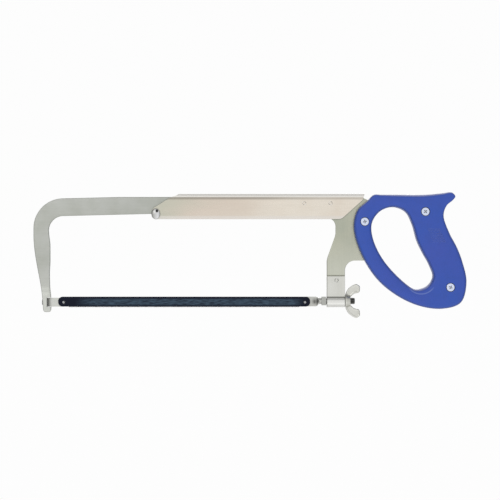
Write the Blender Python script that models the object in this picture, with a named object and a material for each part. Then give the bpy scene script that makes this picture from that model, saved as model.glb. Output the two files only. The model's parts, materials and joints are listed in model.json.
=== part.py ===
"""Adjustable hacksaw with a folded sheet-steel spine, a sliding front bow, a wing-nut
blade tensioner and a closed two-shell handle.

The saw stands upright in the XZ plane: the nose points to -X, the blade hangs below the
spine, and the origin is the middle of the hand grip.  All constants are in metres.
"""

import math

import bmesh
import bpy
import numpy as np
from mathutils import Matrix, Vector

MM = 0.001
GAP = 0.3 * MM                      # clearance left between pieces that touch
CUT_REACH = 20.0 * MM               # cutters run this far past the middle plane

# Blade: a 12-inch blade, 300 mm from hole to hole
HOLE_PITCH = 300.0 * MM
REAR_PIN_X = -164.0 * MM
FRONT_PIN_X = REAR_PIN_X - HOLE_PITCH
PIN_Z = -69.6 * MM
BLADE_TOP_Z = -62.7 * MM
BLADE_BOTTOM_Z = -75.9 * MM
BLADE_THICKNESS = 0.65 * MM
BLADE_END = 6.3 * MM                # from a hole's centre to the blade's end
BLADE_HOLE_RADIUS = 2.0 * MM
TOOTH_PITCH = 25.4 / 18.0 * MM      # 18 teeth to the inch
TOOTH_DEPTH = 0.9 * MM
TOOTHLESS_END = 13.0 * MM
BLADE_CORNER_RADIUS = 5.5 * MM

# Blade pins
PIN_RADIUS = 1.6 * MM
PIN_OFFSET = 0.1 * MM               # each pin pulls outwards against its hole
PIN_HEAD_RADIUS = 2.5 * MM
PIN_FRONT_Y = -0.95 * MM
PIN_CHAMFER = 0.3 * MM
PIN_HEAD_HEIGHT = 1.2 * MM
TAB_FRONT_Y = BLADE_THICKNESS / 2.0 + GAP
TAB_THICKNESS = 3.2 * MM
TAB_BACK_Y = TAB_FRONT_Y + TAB_THICKNESS
TAB_REACH = 5.4 * MM                # from a pin's centre to the tab's tip

# Flat steel of the bow and the leg plate
BAR_HALF = 2.5 * MM
BAR_EDGE_RADIUS = 1.3 * MM

# Front bow: the bar rises towards the spine by BAR_SLOPE
BAR_SLOPE = math.radians(1.4)
BAR_TOP_X = -407.0 * MM             # a point on the bar's top edge
BAR_TOP_Z = 60.9 * MM
BAR_HEIGHT = 22.0 * MM
BOW_OUTER_RADIUS = 37.0 * MM
BOW_INNER_RADIUS = 18.0 * MM
BOW_BEND_STEPS = 8
BOW_FRONT_X = -501.3 * MM
BOW_INNER_X = -482.3 * MM
BAR_TAIL_X = -228.0 * MM
TAIL_TOP_X = -395.0 * MM            # from here the tail runs level
NOTCH_X = -238.0 * MM
NOTCH_DEPTH = 2.4 * MM
NOTCH_FLOOR = (-2.6 * MM, 2.0 * MM)
NOTCH_MOUTH = (-2.6 * MM, 3.6 * MM)
NOTCH_CORNER = 0.6 * MM
SETTING_STEP = 50.8 * MM            # from the 12-inch to the 10-inch setting
LEG_FOOT_X = -489.3 * MM
LEG_INNER_X = -479.4 * MM
BOW_BOTTOM_Z = -81.8 * MM
LEG_TAPER_Z = (14.0 * MM, -80.0 * MM)      # the outer edge slants in between these
LEG_WAIST = ((0.0, -480.4 * MM), (-18.0 * MM, -480.4 * MM), (-34.0 * MM, -481.1 * MM),
             (-46.0 * MM, -480.9 * MM), (-67.0 * MM, LEG_INNER_X))    # (height, inner edge)
LEG_STEP_TOP_Z = 20.0 * MM
LEG_LEVELS = (10.0, -2.0, -14.0, -26.0, -38.0, -49.0, -55.0, -58.5, -62.0, -71.0, -79.5)
BOSS_HALF = 4.6 * MM                # the foot is swaged thicker than the bar
BOSS_SWELL_Z = (-50.0 * MM, -62.0 * MM)
BOSS_FOOT_ROUND = 1.6 * MM
BOSS_NOTCH_X = -484.6 * MM

# Front stud: blade tab, key in the bow's slot, square shank, peened head
STUD_TAB_HALF = 5.5 * MM
STUD_KEY_HALF = (4.2 * MM, 5.3 * MM)       # across and up
STUD_SLOT_HALF = STUD_KEY_HALF[1] + 0.5 * MM
STUD_SHANK_HALF = 2.4 * MM
STUD_HEAD_OFF = 1.05 * MM           # clears the foot's slanting outer edge
STUD_HEAD_PROFILE = ((0.0, -0.9), (2.0, -0.85), (3.1, -0.6), (3.6, -0.25), (3.6, 0.0), (0.0, 0.0))

# Folded spine
SHEET = 1.1 * MM
SPINE_HALF = 4.0 * MM
SPINE_TOP_Z = 64.3 * MM
SPINE_BOTTOM_Z = 33.7 * MM
SPINE_FRONT_X = -353.6 * MM
SPINE_REAR_X = -89.0 * MM
GUIDE_RIVET = (-349.3 * MM, 38.4 * MM)
GUIDE_RIVET_RADIUS = 1.6 * MM
SPINE_RIVETS = ((-132.4 * MM, 53.4 * MM), (-165.0 * MM, 53.4 * MM))
GUIDE_HEAD_RADIUS = 5.5 * MM
FLUSH_RIVET_RADIUS = 2.0 * MM
RIVET_PROUD = 0.1 * MM
RIVET_CHAMFER = 0.2 * MM
FOLD_STEPS = 12

# Leg plate and the tension sleeve on its foot
LEG_FRONT_X = -137.0 * MM
LEG_REAR_X = -114.4 * MM
LEG_BOTTOM_Z = -64.6 * MM
TANG_FRONT_X = -174.0 * MM
SLEEVE_TOP_Z = -37.2 * MM
SLEEVE_PINCH_Z = -61.5 * MM         # where the cheeks turn into the barrel
SLEEVE_STEPS = 18
SLEEVE_SHEET = 1.5 * MM
BARREL_Z = -69.2 * MM
BARREL_RADIUS = 5.1 * MM            # inside
SLEEVE_RIVET = (-124.9 * MM, -42.3 * MM)

# Tension bolt and wing nut (M8)
BOLT_Z = -68.0 * MM
BOLT_RADIUS = 4.1 * MM
BOLT_FLAT_Z = -64.9 * MM
BOLT_FLAT_END_X = -113.2 * MM
BOLT_CHAMFER = 0.6 * MM
BOLT_TAB_HALF = 6.0 * MM
BOLT_TAB_Z = -68.7 * MM             # the tab hangs a little below the shank's axis
BOLT_NECK_X = -145.6 * MM
BOLT_NECK_RADIUS = 3.8 * MM
BOLT_BLOCK_HALF = (4.4 * MM, 5.3 * MM)     # across and up
BOLT_BLOCK_X = (-143.6 * MM, -137.7 * MM)
BOLT_END_X = -102.2 * MM
NUT_BASE_X = -114.1 * MM
NUT_BASE_RADIUS = 8.0 * MM
NUT_TOP_RADIUS = 6.2 * MM
NUT_HEIGHT = 6.6 * MM
NUT_EDGE = 0.8 * MM
NUT_BORE_RADIUS = BOLT_RADIUS + GAP
WING_HALF = 1.4 * MM

# Handle: two hollow shells that meet on the saw's middle plane
GRIP_HALF = 12.5 * MM
GRIP_EDGE = 4.5 * MM                # rounding of the hand opening
GRIP_WALL = 3.0 * MM
GRIP_FACE = 3.5 * MM
GRIP_CAVITY = 34.0 * MM             # how far the hollow reaches from the hand opening
BOSS_RADIUS = 7.0 * MM
HANDLE_BOLTS = ((-90.2 * MM, 30.5 * MM), (-15.1 * MM, 42.9 * MM), (15.9 * MM, -50.9 * MM))
SCREW_RADIUS = 2.5 * MM
SCREW_HEAD_RADIUS = 5.4 * MM
SCREW_HEAD_Y = (-12.1 * MM, -9.4 * MM)
SCREW_HEAD_ROUND = (1.2 * MM, 0.9 * MM)    # in from the edge and down from the top
SCREW_CROSS = (3.0 * MM, 0.7 * MM, 1.5 * MM)   # arm's half length, half width, depth
COUNTERBORE_RADIUS = 6.0 * MM
HEX_RADIUS = 4.6 * MM               # to the nut's corners
HEX_NUT_Y = (8.0 * MM, 12.0 * MM)

ARC_STEP = math.radians(14.0)
ROUND_STEPS = 24

# (colour, roughness, metallic)
MATERIALS = {
    "bow_steel": ((0.44, 0.44, 0.42), 0.42, 1.0),
    "spine_nickel": ((0.62, 0.56, 0.52), 0.28, 1.0),
    "leg_steel": ((0.47, 0.47, 0.41), 0.32, 1.0),
    "zinc": ((0.60, 0.60, 0.57), 0.35, 1.0),
    "bright_steel": ((0.72, 0.73, 0.75), 0.22, 1.0),
    "blade_blue": ((0.012, 0.018, 0.045), 0.38, 0.6),
    "handle_blue": ((0.045, 0.090, 0.430), 0.42, 0.0),
}


# ---------------------------------------------------------------- scene and objects

def clear_scene():
    for thing in list(bpy.data.objects):
        bpy.data.objects.remove(thing)


def make_materials():
    made = {}
    for name, (colour, roughness, metallic) in MATERIALS.items():
        material = bpy.data.materials.new(name)
        material.use_nodes = True
        shader = material.node_tree.nodes["Principled BSDF"]
        shader.inputs["Base Color"].default_value = (*colour, 1.0)
        shader.inputs["Roughness"].default_value = roughness
        shader.inputs["Metallic"].default_value = metallic
        material.diffuse_color = (*colour, 1.0)
        made[name] = material
    return made


def finish_mesh(name, shape):
    """Turn a bmesh into a mesh whose faces point out and whose round faces are smooth."""
    bmesh.ops.recalc_face_normals(shape, faces=shape.faces)
    mesh = bpy.data.meshes.new(name)
    shape.to_mesh(mesh)
    shape.free()
    mesh.shade_smooth()
    mesh.set_sharp_from_angle(angle=math.radians(32.0))
    return mesh


def add_axis(name, position):
    """An empty that stands on a joint's axis."""
    empty = bpy.data.objects.new(name, None)
    empty.location = position
    empty.empty_display_size = 10.0 * MM
    bpy.context.collection.objects.link(empty)
    return empty


def add_object(name, mesh, parent, position=(0.0, 0.0, 0.0)):
    """Link an object whose mesh is drawn about `position`, a place in world metres."""
    thing = bpy.data.objects.new(name, mesh)
    thing.parent = parent
    thing.location = Vector(position) - parent.location
    bpy.context.collection.objects.link(thing)
    return thing


def add_part(name, mesh, material, parent, position=(0.0, 0.0, 0.0)):
    thing = add_object(name, mesh, parent, position)
    if not mesh.materials:
        mesh.materials.append(material)
    return thing


def combine(thing, operation, mesh, position=(0.0, 0.0, 0.0)):
    """Join a tool shape to a part, cut it out, or keep what both share."""
    tool = add_object(f"{thing.name}_tool_{len(thing.modifiers)}", mesh, thing.parent, position)
    tool.hide_render = True
    tool.display_type = "WIRE"
    modifier = thing.modifiers.new(operation.lower(), "BOOLEAN")
    modifier.operation = operation
    modifier.object = tool


# ------------------------------------------------------------------------- outlines

def rounded_outline(corners, grow=0.0):
    """Closed outline from (a, b, radius) corners, each rounded by an arc.

    `grow` moves the outline outwards, square to itself.
    """
    points = []
    count = len(corners)
    for index, (a, b, radius) in enumerate(corners):
        corner = Vector((a, b))
        before = Vector(corners[index - 1][:2]) - corner
        after = Vector(corners[(index + 1) % count][:2]) - corner
        to_before = before.normalized()
        to_after = after.normalized()
        opening = to_before.angle(to_after)
        if radius <= 0.0 or opening > math.radians(179.0):
            points.append(corner)
            continue
        reach = radius / math.tan(opening / 2.0)
        limit = 0.499 * min(before.length, after.length)
        if reach > limit:
            radius *= limit / reach
            reach = limit
        inward = (to_before + to_after).normalized()
        centre = corner + inward * (radius / math.sin(opening / 2.0))
        start = corner + to_before * reach - centre
        turn = math.pi - opening
        if start.y * to_before.x - start.x * to_before.y < 0.0:
            turn = -turn
        steps = max(2, math.ceil(abs(turn) / ARC_STEP))
        for step in range(steps + 1):
            points.append(centre + Matrix.Rotation(turn * step / steps, 2) @ start)
    return offset_outline(points, grow) if grow else points


def offset_outline(points, distance):
    """Move each point of a closed outline outwards by `distance`."""
    area = sum(p.x * q.y - q.x * p.y for p, q in zip(points, points[1:] + points[:1]))
    side = 1.0 if area > 0.0 else -1.0
    moved = []
    for index, point in enumerate(points):
        along = (points[(index + 1) % len(points)] - points[index - 1]).normalized()
        moved.append(point + Vector((along.y, -along.x)) * distance * side)
    return moved


def ribbon_outline(path, thickness):
    """Closed outline of a strip of sheet that follows an open path."""
    left = []
    right = []
    for index, point in enumerate(path):
        into = path[max(index, 1)] - path[max(index, 1) - 1]
        out_index = min(index, len(path) - 2)
        out = path[out_index + 1] - path[out_index]
        along = (into.normalized() + out.normalized()).normalized()
        normal = Vector((-along.y, along.x))
        stretch = 1.0 / max(0.5, along.dot(out.normalized()))
        left.append(point + normal * thickness / 2.0 * stretch)
        right.append(point - normal * thickness / 2.0 * stretch)
    return left + right[::-1]


def arc_points(centre, radius, start, end, steps):
    """Points on an arc, with angles measured from +a towards +b."""
    angles = [start + (end - start) * step / steps for step in range(steps + 1)]
    return [Vector((centre[0] + radius * math.cos(t), centre[1] + radius * math.sin(t)))
            for t in angles]


def between(first, second, low, high, t):
    """The value at t on the line from `first` at low to `second` at high."""
    return (first * (high - t) + second * (t - low)) / (high - low)


def smooth_loop(control, per_span):
    """Closed centripetal Catmull-Rom curve through rows of numbers, as an array."""
    rows = np.array(control)
    count = len(rows)
    curve = []
    for index in range(count):
        p = [rows[(index + shift) % count] for shift in (-1, 0, 1, 2)]
        knot = [0.0]
        for first, second in zip(p, p[1:]):
            knot.append(knot[-1] + math.sqrt(np.linalg.norm((second - first)[:2])))
        for step in range(per_span):
            t = between(knot[1], knot[2], 0.0, 1.0, step / per_span)
            a = [between(p[i], p[i + 1], knot[i], knot[i + 1], t) for i in range(3)]
            b = [between(a[i], a[i + 1], knot[i], knot[i + 2], t) for i in range(2)]
            curve.append(between(b[0], b[1], knot[1], knot[2], t))
    return np.array(curve)


# --------------------------------------------------------------------------- solids

def prism(name, outline, low, high, along="Y"):
    """Extrude a closed outline. Along Y it lies in XZ, and along X it lies in YZ."""
    shape = bmesh.new()
    place = {
        "Y": lambda p, level: (p[0], level, p[1]),
        "X": lambda p, level: (level, p[0], p[1]),
    }[along]
    face = shape.faces.new([shape.verts.new(place(point, low)) for point in outline])
    extruded = bmesh.ops.extrude_face_region(shape, geom=[face])["geom"]
    shift = Vector(place((0.0, 0.0), high - low))
    for item in extruded:
        if isinstance(item, bmesh.types.BMVert):
            item.co += shift
    return finish_mesh(name, shape)


def block(name, low, high):
    """Box from its lowest to its highest corner."""
    outline = [(low[0], low[2]), (high[0], low[2]), (high[0], high[2]), (low[0], high[2])]
    return prism(name, outline, low[1], high[1])


def turned(name, profile, axis, steps=ROUND_STEPS):
    """Turn (radius, height) points about `axis`, with heights along it.

    A profile that starts and ends on the axis is open; any other is closed into a ring.
    """
    shape = bmesh.new()
    rings = []
    for radius, height in profile:
        count = steps if radius > 0.0 else 1
        ring = []
        for step in range(count):
            angle = 2.0 * math.pi * (step + 0.5) / steps
            across = (radius * math.cos(angle), radius * math.sin(angle))
            if axis == "X":
                ring.append(shape.verts.new((height, *across)))
            else:
                ring.append(shape.verts.new((across[0], height, across[1])))
        rings.append(ring)
    pairs = list(zip(rings, rings[1:]))
    if len(rings[0]) > 1:
        pairs.append((rings[-1], rings[0]))
    for lower, upper in pairs:
        for step in range(steps):
            after = (step + 1) % steps
            if len(lower) == 1:
                shape.faces.new((lower[0], upper[step], upper[after]))
            elif len(upper) == 1:
                shape.faces.new((lower[step], lower[after], upper[0]))
            else:
                shape.faces.new((lower[step], lower[after], upper[after], upper[step]))
    return finish_mesh(name, shape)


def rod(name, radius, low, high, axis, chamfer=0.0, steps=ROUND_STEPS):
    """Solid round bar with both end edges chamfered."""
    profile = [(0.0, low)]
    if chamfer:
        profile.append((radius - chamfer, low))
    profile.append((radius, low + chamfer))
    profile.append((radius, high - chamfer))
    if chamfer:
        profile.append((radius - chamfer, high))
    profile.append((0.0, high))
    return turned(name, profile, axis, steps)


def loft(name, sections, closed=False):
    """Skin a row of sections with equal point counts, capped unless it closes on itself."""
    shape = bmesh.new()
    rings = [[shape.verts.new(point) for point in section] for section in sections]
    pairs = list(zip(rings, rings[1:]))
    if closed:
        pairs.append((rings[-1], rings[0]))
    else:
        shape.faces.new(rings[0])
        shape.faces.new(rings[-1])
    for first, second in pairs:
        for index in range(len(first)):
            after = (index + 1) % len(first)
            shape.faces.new((first[index], first[after], second[after], second[index]))
    return finish_mesh(name, shape)


# ---------------------------------------------------------------------------- blade

def blade_mesh():
    """Toothed strip with round ends, drawn as columns of faces and then thickened."""
    top = BLADE_TOP_Z
    gullet = BLADE_BOTTOM_Z + TOOTH_DEPTH
    front = FRONT_PIN_X - BLADE_END
    rear = REAR_PIN_X + BLADE_END
    teeth = int((rear - front - 2.0 * TOOTHLESS_END) / TOOTH_PITCH)
    first_x = (front + rear - teeth * TOOTH_PITCH) / 2.0
    shape = bmesh.new()
    level = -BLADE_THICKNESS / 2.0

    def vertex(x, z):
        return shape.verts.new((x, level, z))

    uppers = [vertex(first_x + i * TOOTH_PITCH, top) for i in range(teeth + 1)]
    lowers = [vertex(first_x + i * TOOTH_PITCH, gullet) for i in range(teeth + 1)]
    for index in range(teeth):
        after = index + 1
        shape.faces.new((lowers[index], lowers[after], uppers[after], uppers[index]))
        tip = vertex(lowers[index].co.x, gullet - TOOTH_DEPTH)
        shape.faces.new((lowers[index], tip, lowers[after]))
    end_radius = BLADE_CORNER_RADIUS
    for upper, lower, end_x, side in ((uppers[0], lowers[0], front, 1.0),
                                      (uppers[-1], lowers[-1], rear, -1.0)):
        centre_x = end_x + side * end_radius
        upper_turn = arc_points((0.0, 0.0), end_radius, math.pi / 2.0, math.pi, 5)
        ring = [upper]
        ring += [vertex(centre_x + side * p.x, top - end_radius + p.y) for p in upper_turn]
        ring += [vertex(centre_x + side * p.x, gullet + end_radius - p.y)
                 for p in reversed(upper_turn)]
        ring.append(lower)
        shape.faces.new(ring)
    extruded = bmesh.ops.extrude_face_region(shape, geom=shape.faces[:])["geom"]
    for item in extruded:
        if isinstance(item, bmesh.types.BMVert):
            item.co.y += BLADE_THICKNESS
    return finish_mesh("blade", shape)


def build_blade(materials, parent):
    blade = add_part("blade", blade_mesh(), materials["blade_blue"], parent)
    for x in (FRONT_PIN_X, REAR_PIN_X):
        hole = rod("blade_hole", BLADE_HOLE_RADIUS, -CUT_REACH, CUT_REACH, "Y")
        combine(blade, "DIFFERENCE", hole, (x, 0.0, PIN_Z))


def blade_pin_mesh():
    """Pin pressed through a tab from behind, with a low round head."""
    head = TAB_BACK_Y + GAP
    head_end = head + PIN_HEAD_HEIGHT
    bevel = PIN_HEAD_HEIGHT / 2.0
    profile = [
        (0.0, PIN_FRONT_Y),
        (PIN_RADIUS - PIN_CHAMFER, PIN_FRONT_Y),
        (PIN_RADIUS, PIN_FRONT_Y + PIN_CHAMFER),
        (PIN_RADIUS, head),
        (PIN_HEAD_RADIUS, head),
        (PIN_HEAD_RADIUS, head_end - bevel),
        (PIN_HEAD_RADIUS - bevel, head_end),
        (0.0, head_end),
    ]
    return turned("blade_pin", profile, "Y")


def drill_tab(thing, x):
    hole = rod("tab_hole", PIN_RADIUS + GAP, -CUT_REACH, CUT_REACH, "Y")
    combine(thing, "DIFFERENCE", hole, (x, 0.0, PIN_Z))


# ------------------------------------------------------------------------ front bow

def ease(value, start, end):
    """Smooth step from 0 at `start` to 1 at `end`."""
    t = min(1.0, max(0.0, (value - start) / (end - start)))
    return t * t * (3.0 - 2.0 * t)


def bar_top(x):
    return BAR_TOP_Z + (x - BAR_TOP_X) * math.tan(BAR_SLOPE)


def leg_inner(height):
    """X of the leg's inner edge: level stretches joined by smooth steps."""
    steps = ((LEG_STEP_TOP_Z, BOW_INNER_X), *LEG_WAIST)
    edge = BOW_INNER_X
    for (high, before), (low, after) in zip(steps, steps[1:]):
        if height < high:
            edge = before + (after - before) * ease(height, high, low)
    return edge


def bow_stations():
    """(outer x, outer z, inner x, inner z, half thickness) from the tail to the foot."""
    stations = []
    level_top = bar_top(TAIL_TOP_X)
    for x in (BAR_TAIL_X, NOTCH_X, NOTCH_X - SETTING_STEP, TAIL_TOP_X):
        stations.append((x, level_top, x, bar_top(x) - BAR_HEIGHT, BAR_HALF))
    outer_x = BOW_FRONT_X + BOW_OUTER_RADIUS
    inner_x = BOW_INNER_X + BOW_INNER_RADIUS
    outer_top = bar_top(outer_x)
    inner_top = bar_top(inner_x) - BAR_HEIGHT
    for step in range(BOW_BEND_STEPS + 1):
        angle = math.radians(90.0) * (1.0 + step / BOW_BEND_STEPS)
        stations.append((
            outer_x + BOW_OUTER_RADIUS * math.cos(angle),
            outer_top - BOW_OUTER_RADIUS + BOW_OUTER_RADIUS * math.sin(angle),
            inner_x + BOW_INNER_RADIUS * math.cos(angle),
            inner_top - BOW_INNER_RADIUS + BOW_INNER_RADIUS * math.sin(angle),
            BAR_HALF,
        ))
    for level in LEG_LEVELS:
        height = level * MM
        stations.append((
            BOW_FRONT_X + (LEG_FOOT_X - BOW_FRONT_X) * ease(height, *LEG_TAPER_Z),
            height,
            leg_inner(height),
            height,
            BAR_HALF + (BOSS_HALF - BAR_HALF) * ease(height, *BOSS_SWELL_Z),
        ))
    stations.append((LEG_FOOT_X + BOSS_FOOT_ROUND, BOW_BOTTOM_Z, LEG_INNER_X - BOSS_FOOT_ROUND,
                     BOW_BOTTOM_Z, BOSS_HALF - BOSS_FOOT_ROUND))
    return stations


def bar_section(station):
    """Rounded rectangle between a station's outer and inner edge points."""
    outer = Vector((station[0], 0.0, station[1]))
    inner = Vector((station[2], 0.0, station[3]))
    half = station[4]
    across = (inner - outer) / 2.0
    middle = (inner + outer) / 2.0
    width = across.length
    across.normalize()
    corner = BAR_EDGE_RADIUS
    section = []
    for sign_u, sign_v, start in ((1.0, 1.0, 0), (-1.0, 1.0, 1), (-1.0, -1.0, 2), (1.0, -1.0, 3)):
        for step in range(3):
            angle = math.radians(90.0 * start + 45.0 * step)
            u = sign_u * (width - corner) + corner * math.cos(angle)
            v = sign_v * (half - corner) + corner * math.sin(angle)
            section.append(middle + across * u + Vector((0.0, v, 0.0)))
    return section


def build_front_bow(materials, parent):
    mesh = loft("front_bow", [bar_section(station) for station in bow_stations()])
    bow = add_part("front_bow", mesh, materials["bow_steel"], parent)
    floor_z = bar_top(TAIL_TOP_X) - NOTCH_DEPTH
    mouth_z = bar_top(TAIL_TOP_X) + NOTCH_DEPTH
    for x in (NOTCH_X, NOTCH_X - SETTING_STEP):
        corners = [
            (x + NOTCH_MOUTH[0], mouth_z, 0.0),
            (x + NOTCH_FLOOR[0], floor_z, NOTCH_CORNER),
            (x + NOTCH_FLOOR[1], floor_z, NOTCH_CORNER),
            (x + NOTCH_MOUTH[1], mouth_z, 0.0),
        ]
        notch = prism("bar_notch", rounded_outline(corners), -CUT_REACH, CUT_REACH)
        combine(bow, "DIFFERENCE", notch)
    slot_half = STUD_SLOT_HALF
    slot = block("stud_slot", (BOSS_NOTCH_X, -CUT_REACH, PIN_Z - slot_half),
                 (LEG_INNER_X + CUT_REACH, CUT_REACH, PIN_Z + slot_half))
    combine(bow, "DIFFERENCE", slot)
    half = STUD_SHANK_HALF + GAP
    hole = block("stud_hole", (LEG_FOOT_X - CUT_REACH, -half, PIN_Z - half),
                 (BOSS_NOTCH_X + 3.0 * MM, half, PIN_Z + half))
    combine(bow, "DIFFERENCE", hole)


def tab_outline(tip_x, root_x, z, half_height):
    """Flat tab with a well-rounded tip."""
    tip_radius = half_height * 0.9
    return rounded_outline([
        (tip_x, z - half_height, tip_radius),
        (tip_x, z + half_height, tip_radius),
        (root_x, z + half_height, 0.0),
        (root_x, z - half_height, 0.0),
    ])


def build_front_stud(materials, parent):
    """Tab for the blade, a key that fills the bow's slot, a square shank and a peened head.

    Each shape runs a little way into its neighbour, so that the union has no seams.
    """
    into_key = 2.0 * MM
    into_shank = 1.0 * MM
    into_head = 0.5 * MM
    outline = tab_outline(FRONT_PIN_X + TAB_REACH, LEG_INNER_X - into_key, PIN_Z, STUD_TAB_HALF)
    tab = prism("front_stud", outline, TAB_FRONT_Y, TAB_BACK_Y)
    stud = add_part("front_stud", tab, materials["zinc"], parent)
    across, up = STUD_KEY_HALF
    key = block("stud_key", (BOSS_NOTCH_X + GAP, -across, PIN_Z - up),
                (LEG_INNER_X, across, PIN_Z + up))
    combine(stud, "UNION", key)
    head_x = LEG_FOOT_X - STUD_HEAD_OFF
    half = STUD_SHANK_HALF
    shank = block("stud_shank", (head_x - into_head, -half, PIN_Z - half),
                  (BOSS_NOTCH_X + into_shank, half, PIN_Z + half))
    combine(stud, "UNION", shank)
    head = turned("stud_head", [(r * MM, x * MM) for r, x in STUD_HEAD_PROFILE], "X")
    combine(stud, "UNION", head, (head_x, 0.0, PIN_Z))
    drill_tab(stud, FRONT_PIN_X - PIN_OFFSET)
    add_part("front_blade_pin", blade_pin_mesh(), materials["bright_steel"], parent,
             (FRONT_PIN_X - PIN_OFFSET, 0.0, PIN_Z))


# ---------------------------------------------------------------------------- spine

def build_spine(materials, parent):
    """Sheet folded over its full-round top edge, cut to the spine's side outline."""
    spare = 4.0 * MM
    centre_half = SPINE_HALF - SHEET / 2.0
    fold_z = SPINE_TOP_Z - SPINE_HALF
    fold = arc_points((0.0, fold_z), centre_half, 0.0, math.pi, FOLD_STEPS)
    path = [Vector((centre_half, SPINE_BOTTOM_Z - spare))]
    path += fold
    path.append(Vector((-centre_half, SPINE_BOTTOM_Z - spare)))
    section = ribbon_outline(path, SHEET)
    sheet = prism("frame_channel", section, SPINE_FRONT_X - spare, SPINE_REAR_X + spare,
                  along="X")
    channel = add_part("frame_channel", sheet, materials["spine_nickel"], parent)
    side = rounded_outline([
        (SPINE_FRONT_X, SPINE_BOTTOM_Z, 5.4 * MM),
        (-119.0 * MM, SPINE_BOTTOM_Z, 10.0 * MM),
        (-92.0 * MM, 58.0 * MM, 6.0 * MM),
        (SPINE_REAR_X, SPINE_TOP_Z + spare, 0.0),
        (-320.0 * MM, SPINE_TOP_Z + spare, 0.0),
        (-321.0 * MM, SPINE_TOP_Z, 6.0 * MM),
        (-331.5 * MM, 60.4 * MM, 16.0 * MM),
        (SPINE_FRONT_X, 46.5 * MM, 6.0 * MM),
    ])
    combine(channel, "INTERSECT", prism("spine_side", side, -CUT_REACH, CUT_REACH))
    drill(channel, [GUIDE_RIVET], GUIDE_RIVET_RADIUS + GAP)
    drill(channel, SPINE_RIVETS, FLUSH_RIVET_RADIUS + GAP)


def drill(thing, places, radius):
    """Holes through a plate in the XZ plane."""
    for x, z in places:
        hole = rod("hole", radius, -CUT_REACH, CUT_REACH, "Y")
        combine(thing, "DIFFERENCE", hole, (x, 0.0, z))


def build_rivets(materials, parent):
    """Domed guide rivet at the nose, and two flush rivets through the leg's tang."""
    dome = SPINE_HALF + GAP
    radius = GUIDE_HEAD_RADIUS
    half = [(GUIDE_RIVET_RADIUS, dome), (radius, dome), (radius, dome + 0.6 * MM),
            (radius * 0.8, dome + 1.5 * MM), (radius * 0.45, dome + 2.0 * MM),
            (0.0, dome + 2.1 * MM)]
    profile = [(r, -y) for r, y in reversed(half)] + half
    guide = turned("guide_rivet", profile, "Y")
    add_part("guide_rivet", guide, materials["zinc"], parent,
             (GUIDE_RIVET[0], 0.0, GUIDE_RIVET[1]))
    flush = SPINE_HALF + RIVET_PROUD
    for number, (x, z) in enumerate(SPINE_RIVETS, 1):
        rivet = rod("spine_rivet", FLUSH_RIVET_RADIUS, -flush, flush, "Y", RIVET_CHAMFER)
        add_part(f"spine_rivet_{number}", rivet, materials["spine_nickel"], parent,
                 (x, 0.0, z))


# ------------------------------------------------------------- leg plate and sleeve

def leg_outline(grow=0.0):
    """One plate: a tang in the spine, the leg, and a tang and top finger in the handle."""
    tang_z = 34.9 * MM
    tang_top_z = 60.6 * MM
    bend_x = -126.1 * MM
    heel_z = -17.8 * MM
    finger_z = (53.0 * MM, 58.0 * MM)
    bolt_tab_x = (-22.0 * MM, -9.0 * MM)
    bolt_tab_z = 37.0 * MM
    return rounded_outline([
        (TANG_FRONT_X, tang_z, 3.0 * MM),
        (bend_x, tang_z, 17.0 * MM),
        (bend_x, 14.1 * MM, 20.0 * MM),
        (LEG_FRONT_X, -16.2 * MM, 20.0 * MM),
        (LEG_FRONT_X, LEG_BOTTOM_Z, 0.0),
        (LEG_REAR_X, LEG_BOTTOM_Z, 0.0),
        (LEG_REAR_X, heel_z, 12.5 * MM),
        (-80.0 * MM, heel_z, 4.0 * MM),
        (-84.6 * MM, 6.0 * MM, 12.0 * MM),
        (-84.6 * MM, 40.0 * MM, 8.0 * MM),
        (-66.0 * MM, finger_z[0], 8.0 * MM),
        (bolt_tab_x[0], finger_z[0], 4.0 * MM),
        (bolt_tab_x[0], bolt_tab_z, 5.0 * MM),
        (bolt_tab_x[1], bolt_tab_z, 5.0 * MM),
        (bolt_tab_x[1], finger_z[1], 4.0 * MM),
        (-74.0 * MM, finger_z[1], 6.0 * MM),
        (-83.0 * MM, 56.0 * MM, 5.0 * MM),
        (-93.0 * MM, tang_top_z, 3.0 * MM),
        (TANG_FRONT_X, tang_top_z, 3.0 * MM),
    ], grow)


def build_leg(materials, parent):
    leg = add_part("leg_plate", prism("leg_plate", leg_outline(), -BAR_HALF, BAR_HALF),
                   materials["leg_steel"], parent)
    drill(leg, SPINE_RIVETS, FLUSH_RIVET_RADIUS + GAP)
    drill(leg, [SLEEVE_RIVET], FLUSH_RIVET_RADIUS + GAP)
    drill(leg, HANDLE_BOLTS[:2], SCREW_RADIUS + GAP)


def build_sleeve(materials, parent):
    """Strap folded round the tension bolt, its two cheeks riveted to the leg's foot."""
    cheek = BAR_HALF + GAP + SLEEVE_SHEET / 2.0
    radius = BARREL_RADIUS + SLEEVE_SHEET / 2.0
    start = math.radians(45.0)
    end = start - math.radians(270.0)
    path = [Vector((cheek, SLEEVE_TOP_Z)), Vector((cheek, SLEEVE_PINCH_Z))]
    path += arc_points((0.0, BARREL_Z), radius, start, end, SLEEVE_STEPS)
    path += [Vector((-cheek, SLEEVE_PINCH_Z)), Vector((-cheek, SLEEVE_TOP_Z))]
    mesh = prism("tension_sleeve", ribbon_outline(path, SLEEVE_SHEET),
                 LEG_FRONT_X, LEG_REAR_X, along="X")
    sleeve = add_part("tension_sleeve", mesh, materials["zinc"], parent)
    drill(sleeve, [SLEEVE_RIVET], FLUSH_RIVET_RADIUS + GAP)
    flush = cheek + SLEEVE_SHEET / 2.0 + RIVET_PROUD
    rivet = rod("sleeve_rivet", FLUSH_RIVET_RADIUS, -flush, flush, "Y", RIVET_CHAMFER)
    add_part("sleeve_rivet", rivet, materials["zinc"], parent,
             (SLEEVE_RIVET[0], 0.0, SLEEVE_RIVET[1]))


# ------------------------------------------------------- tension bolt and wing nut

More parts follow.
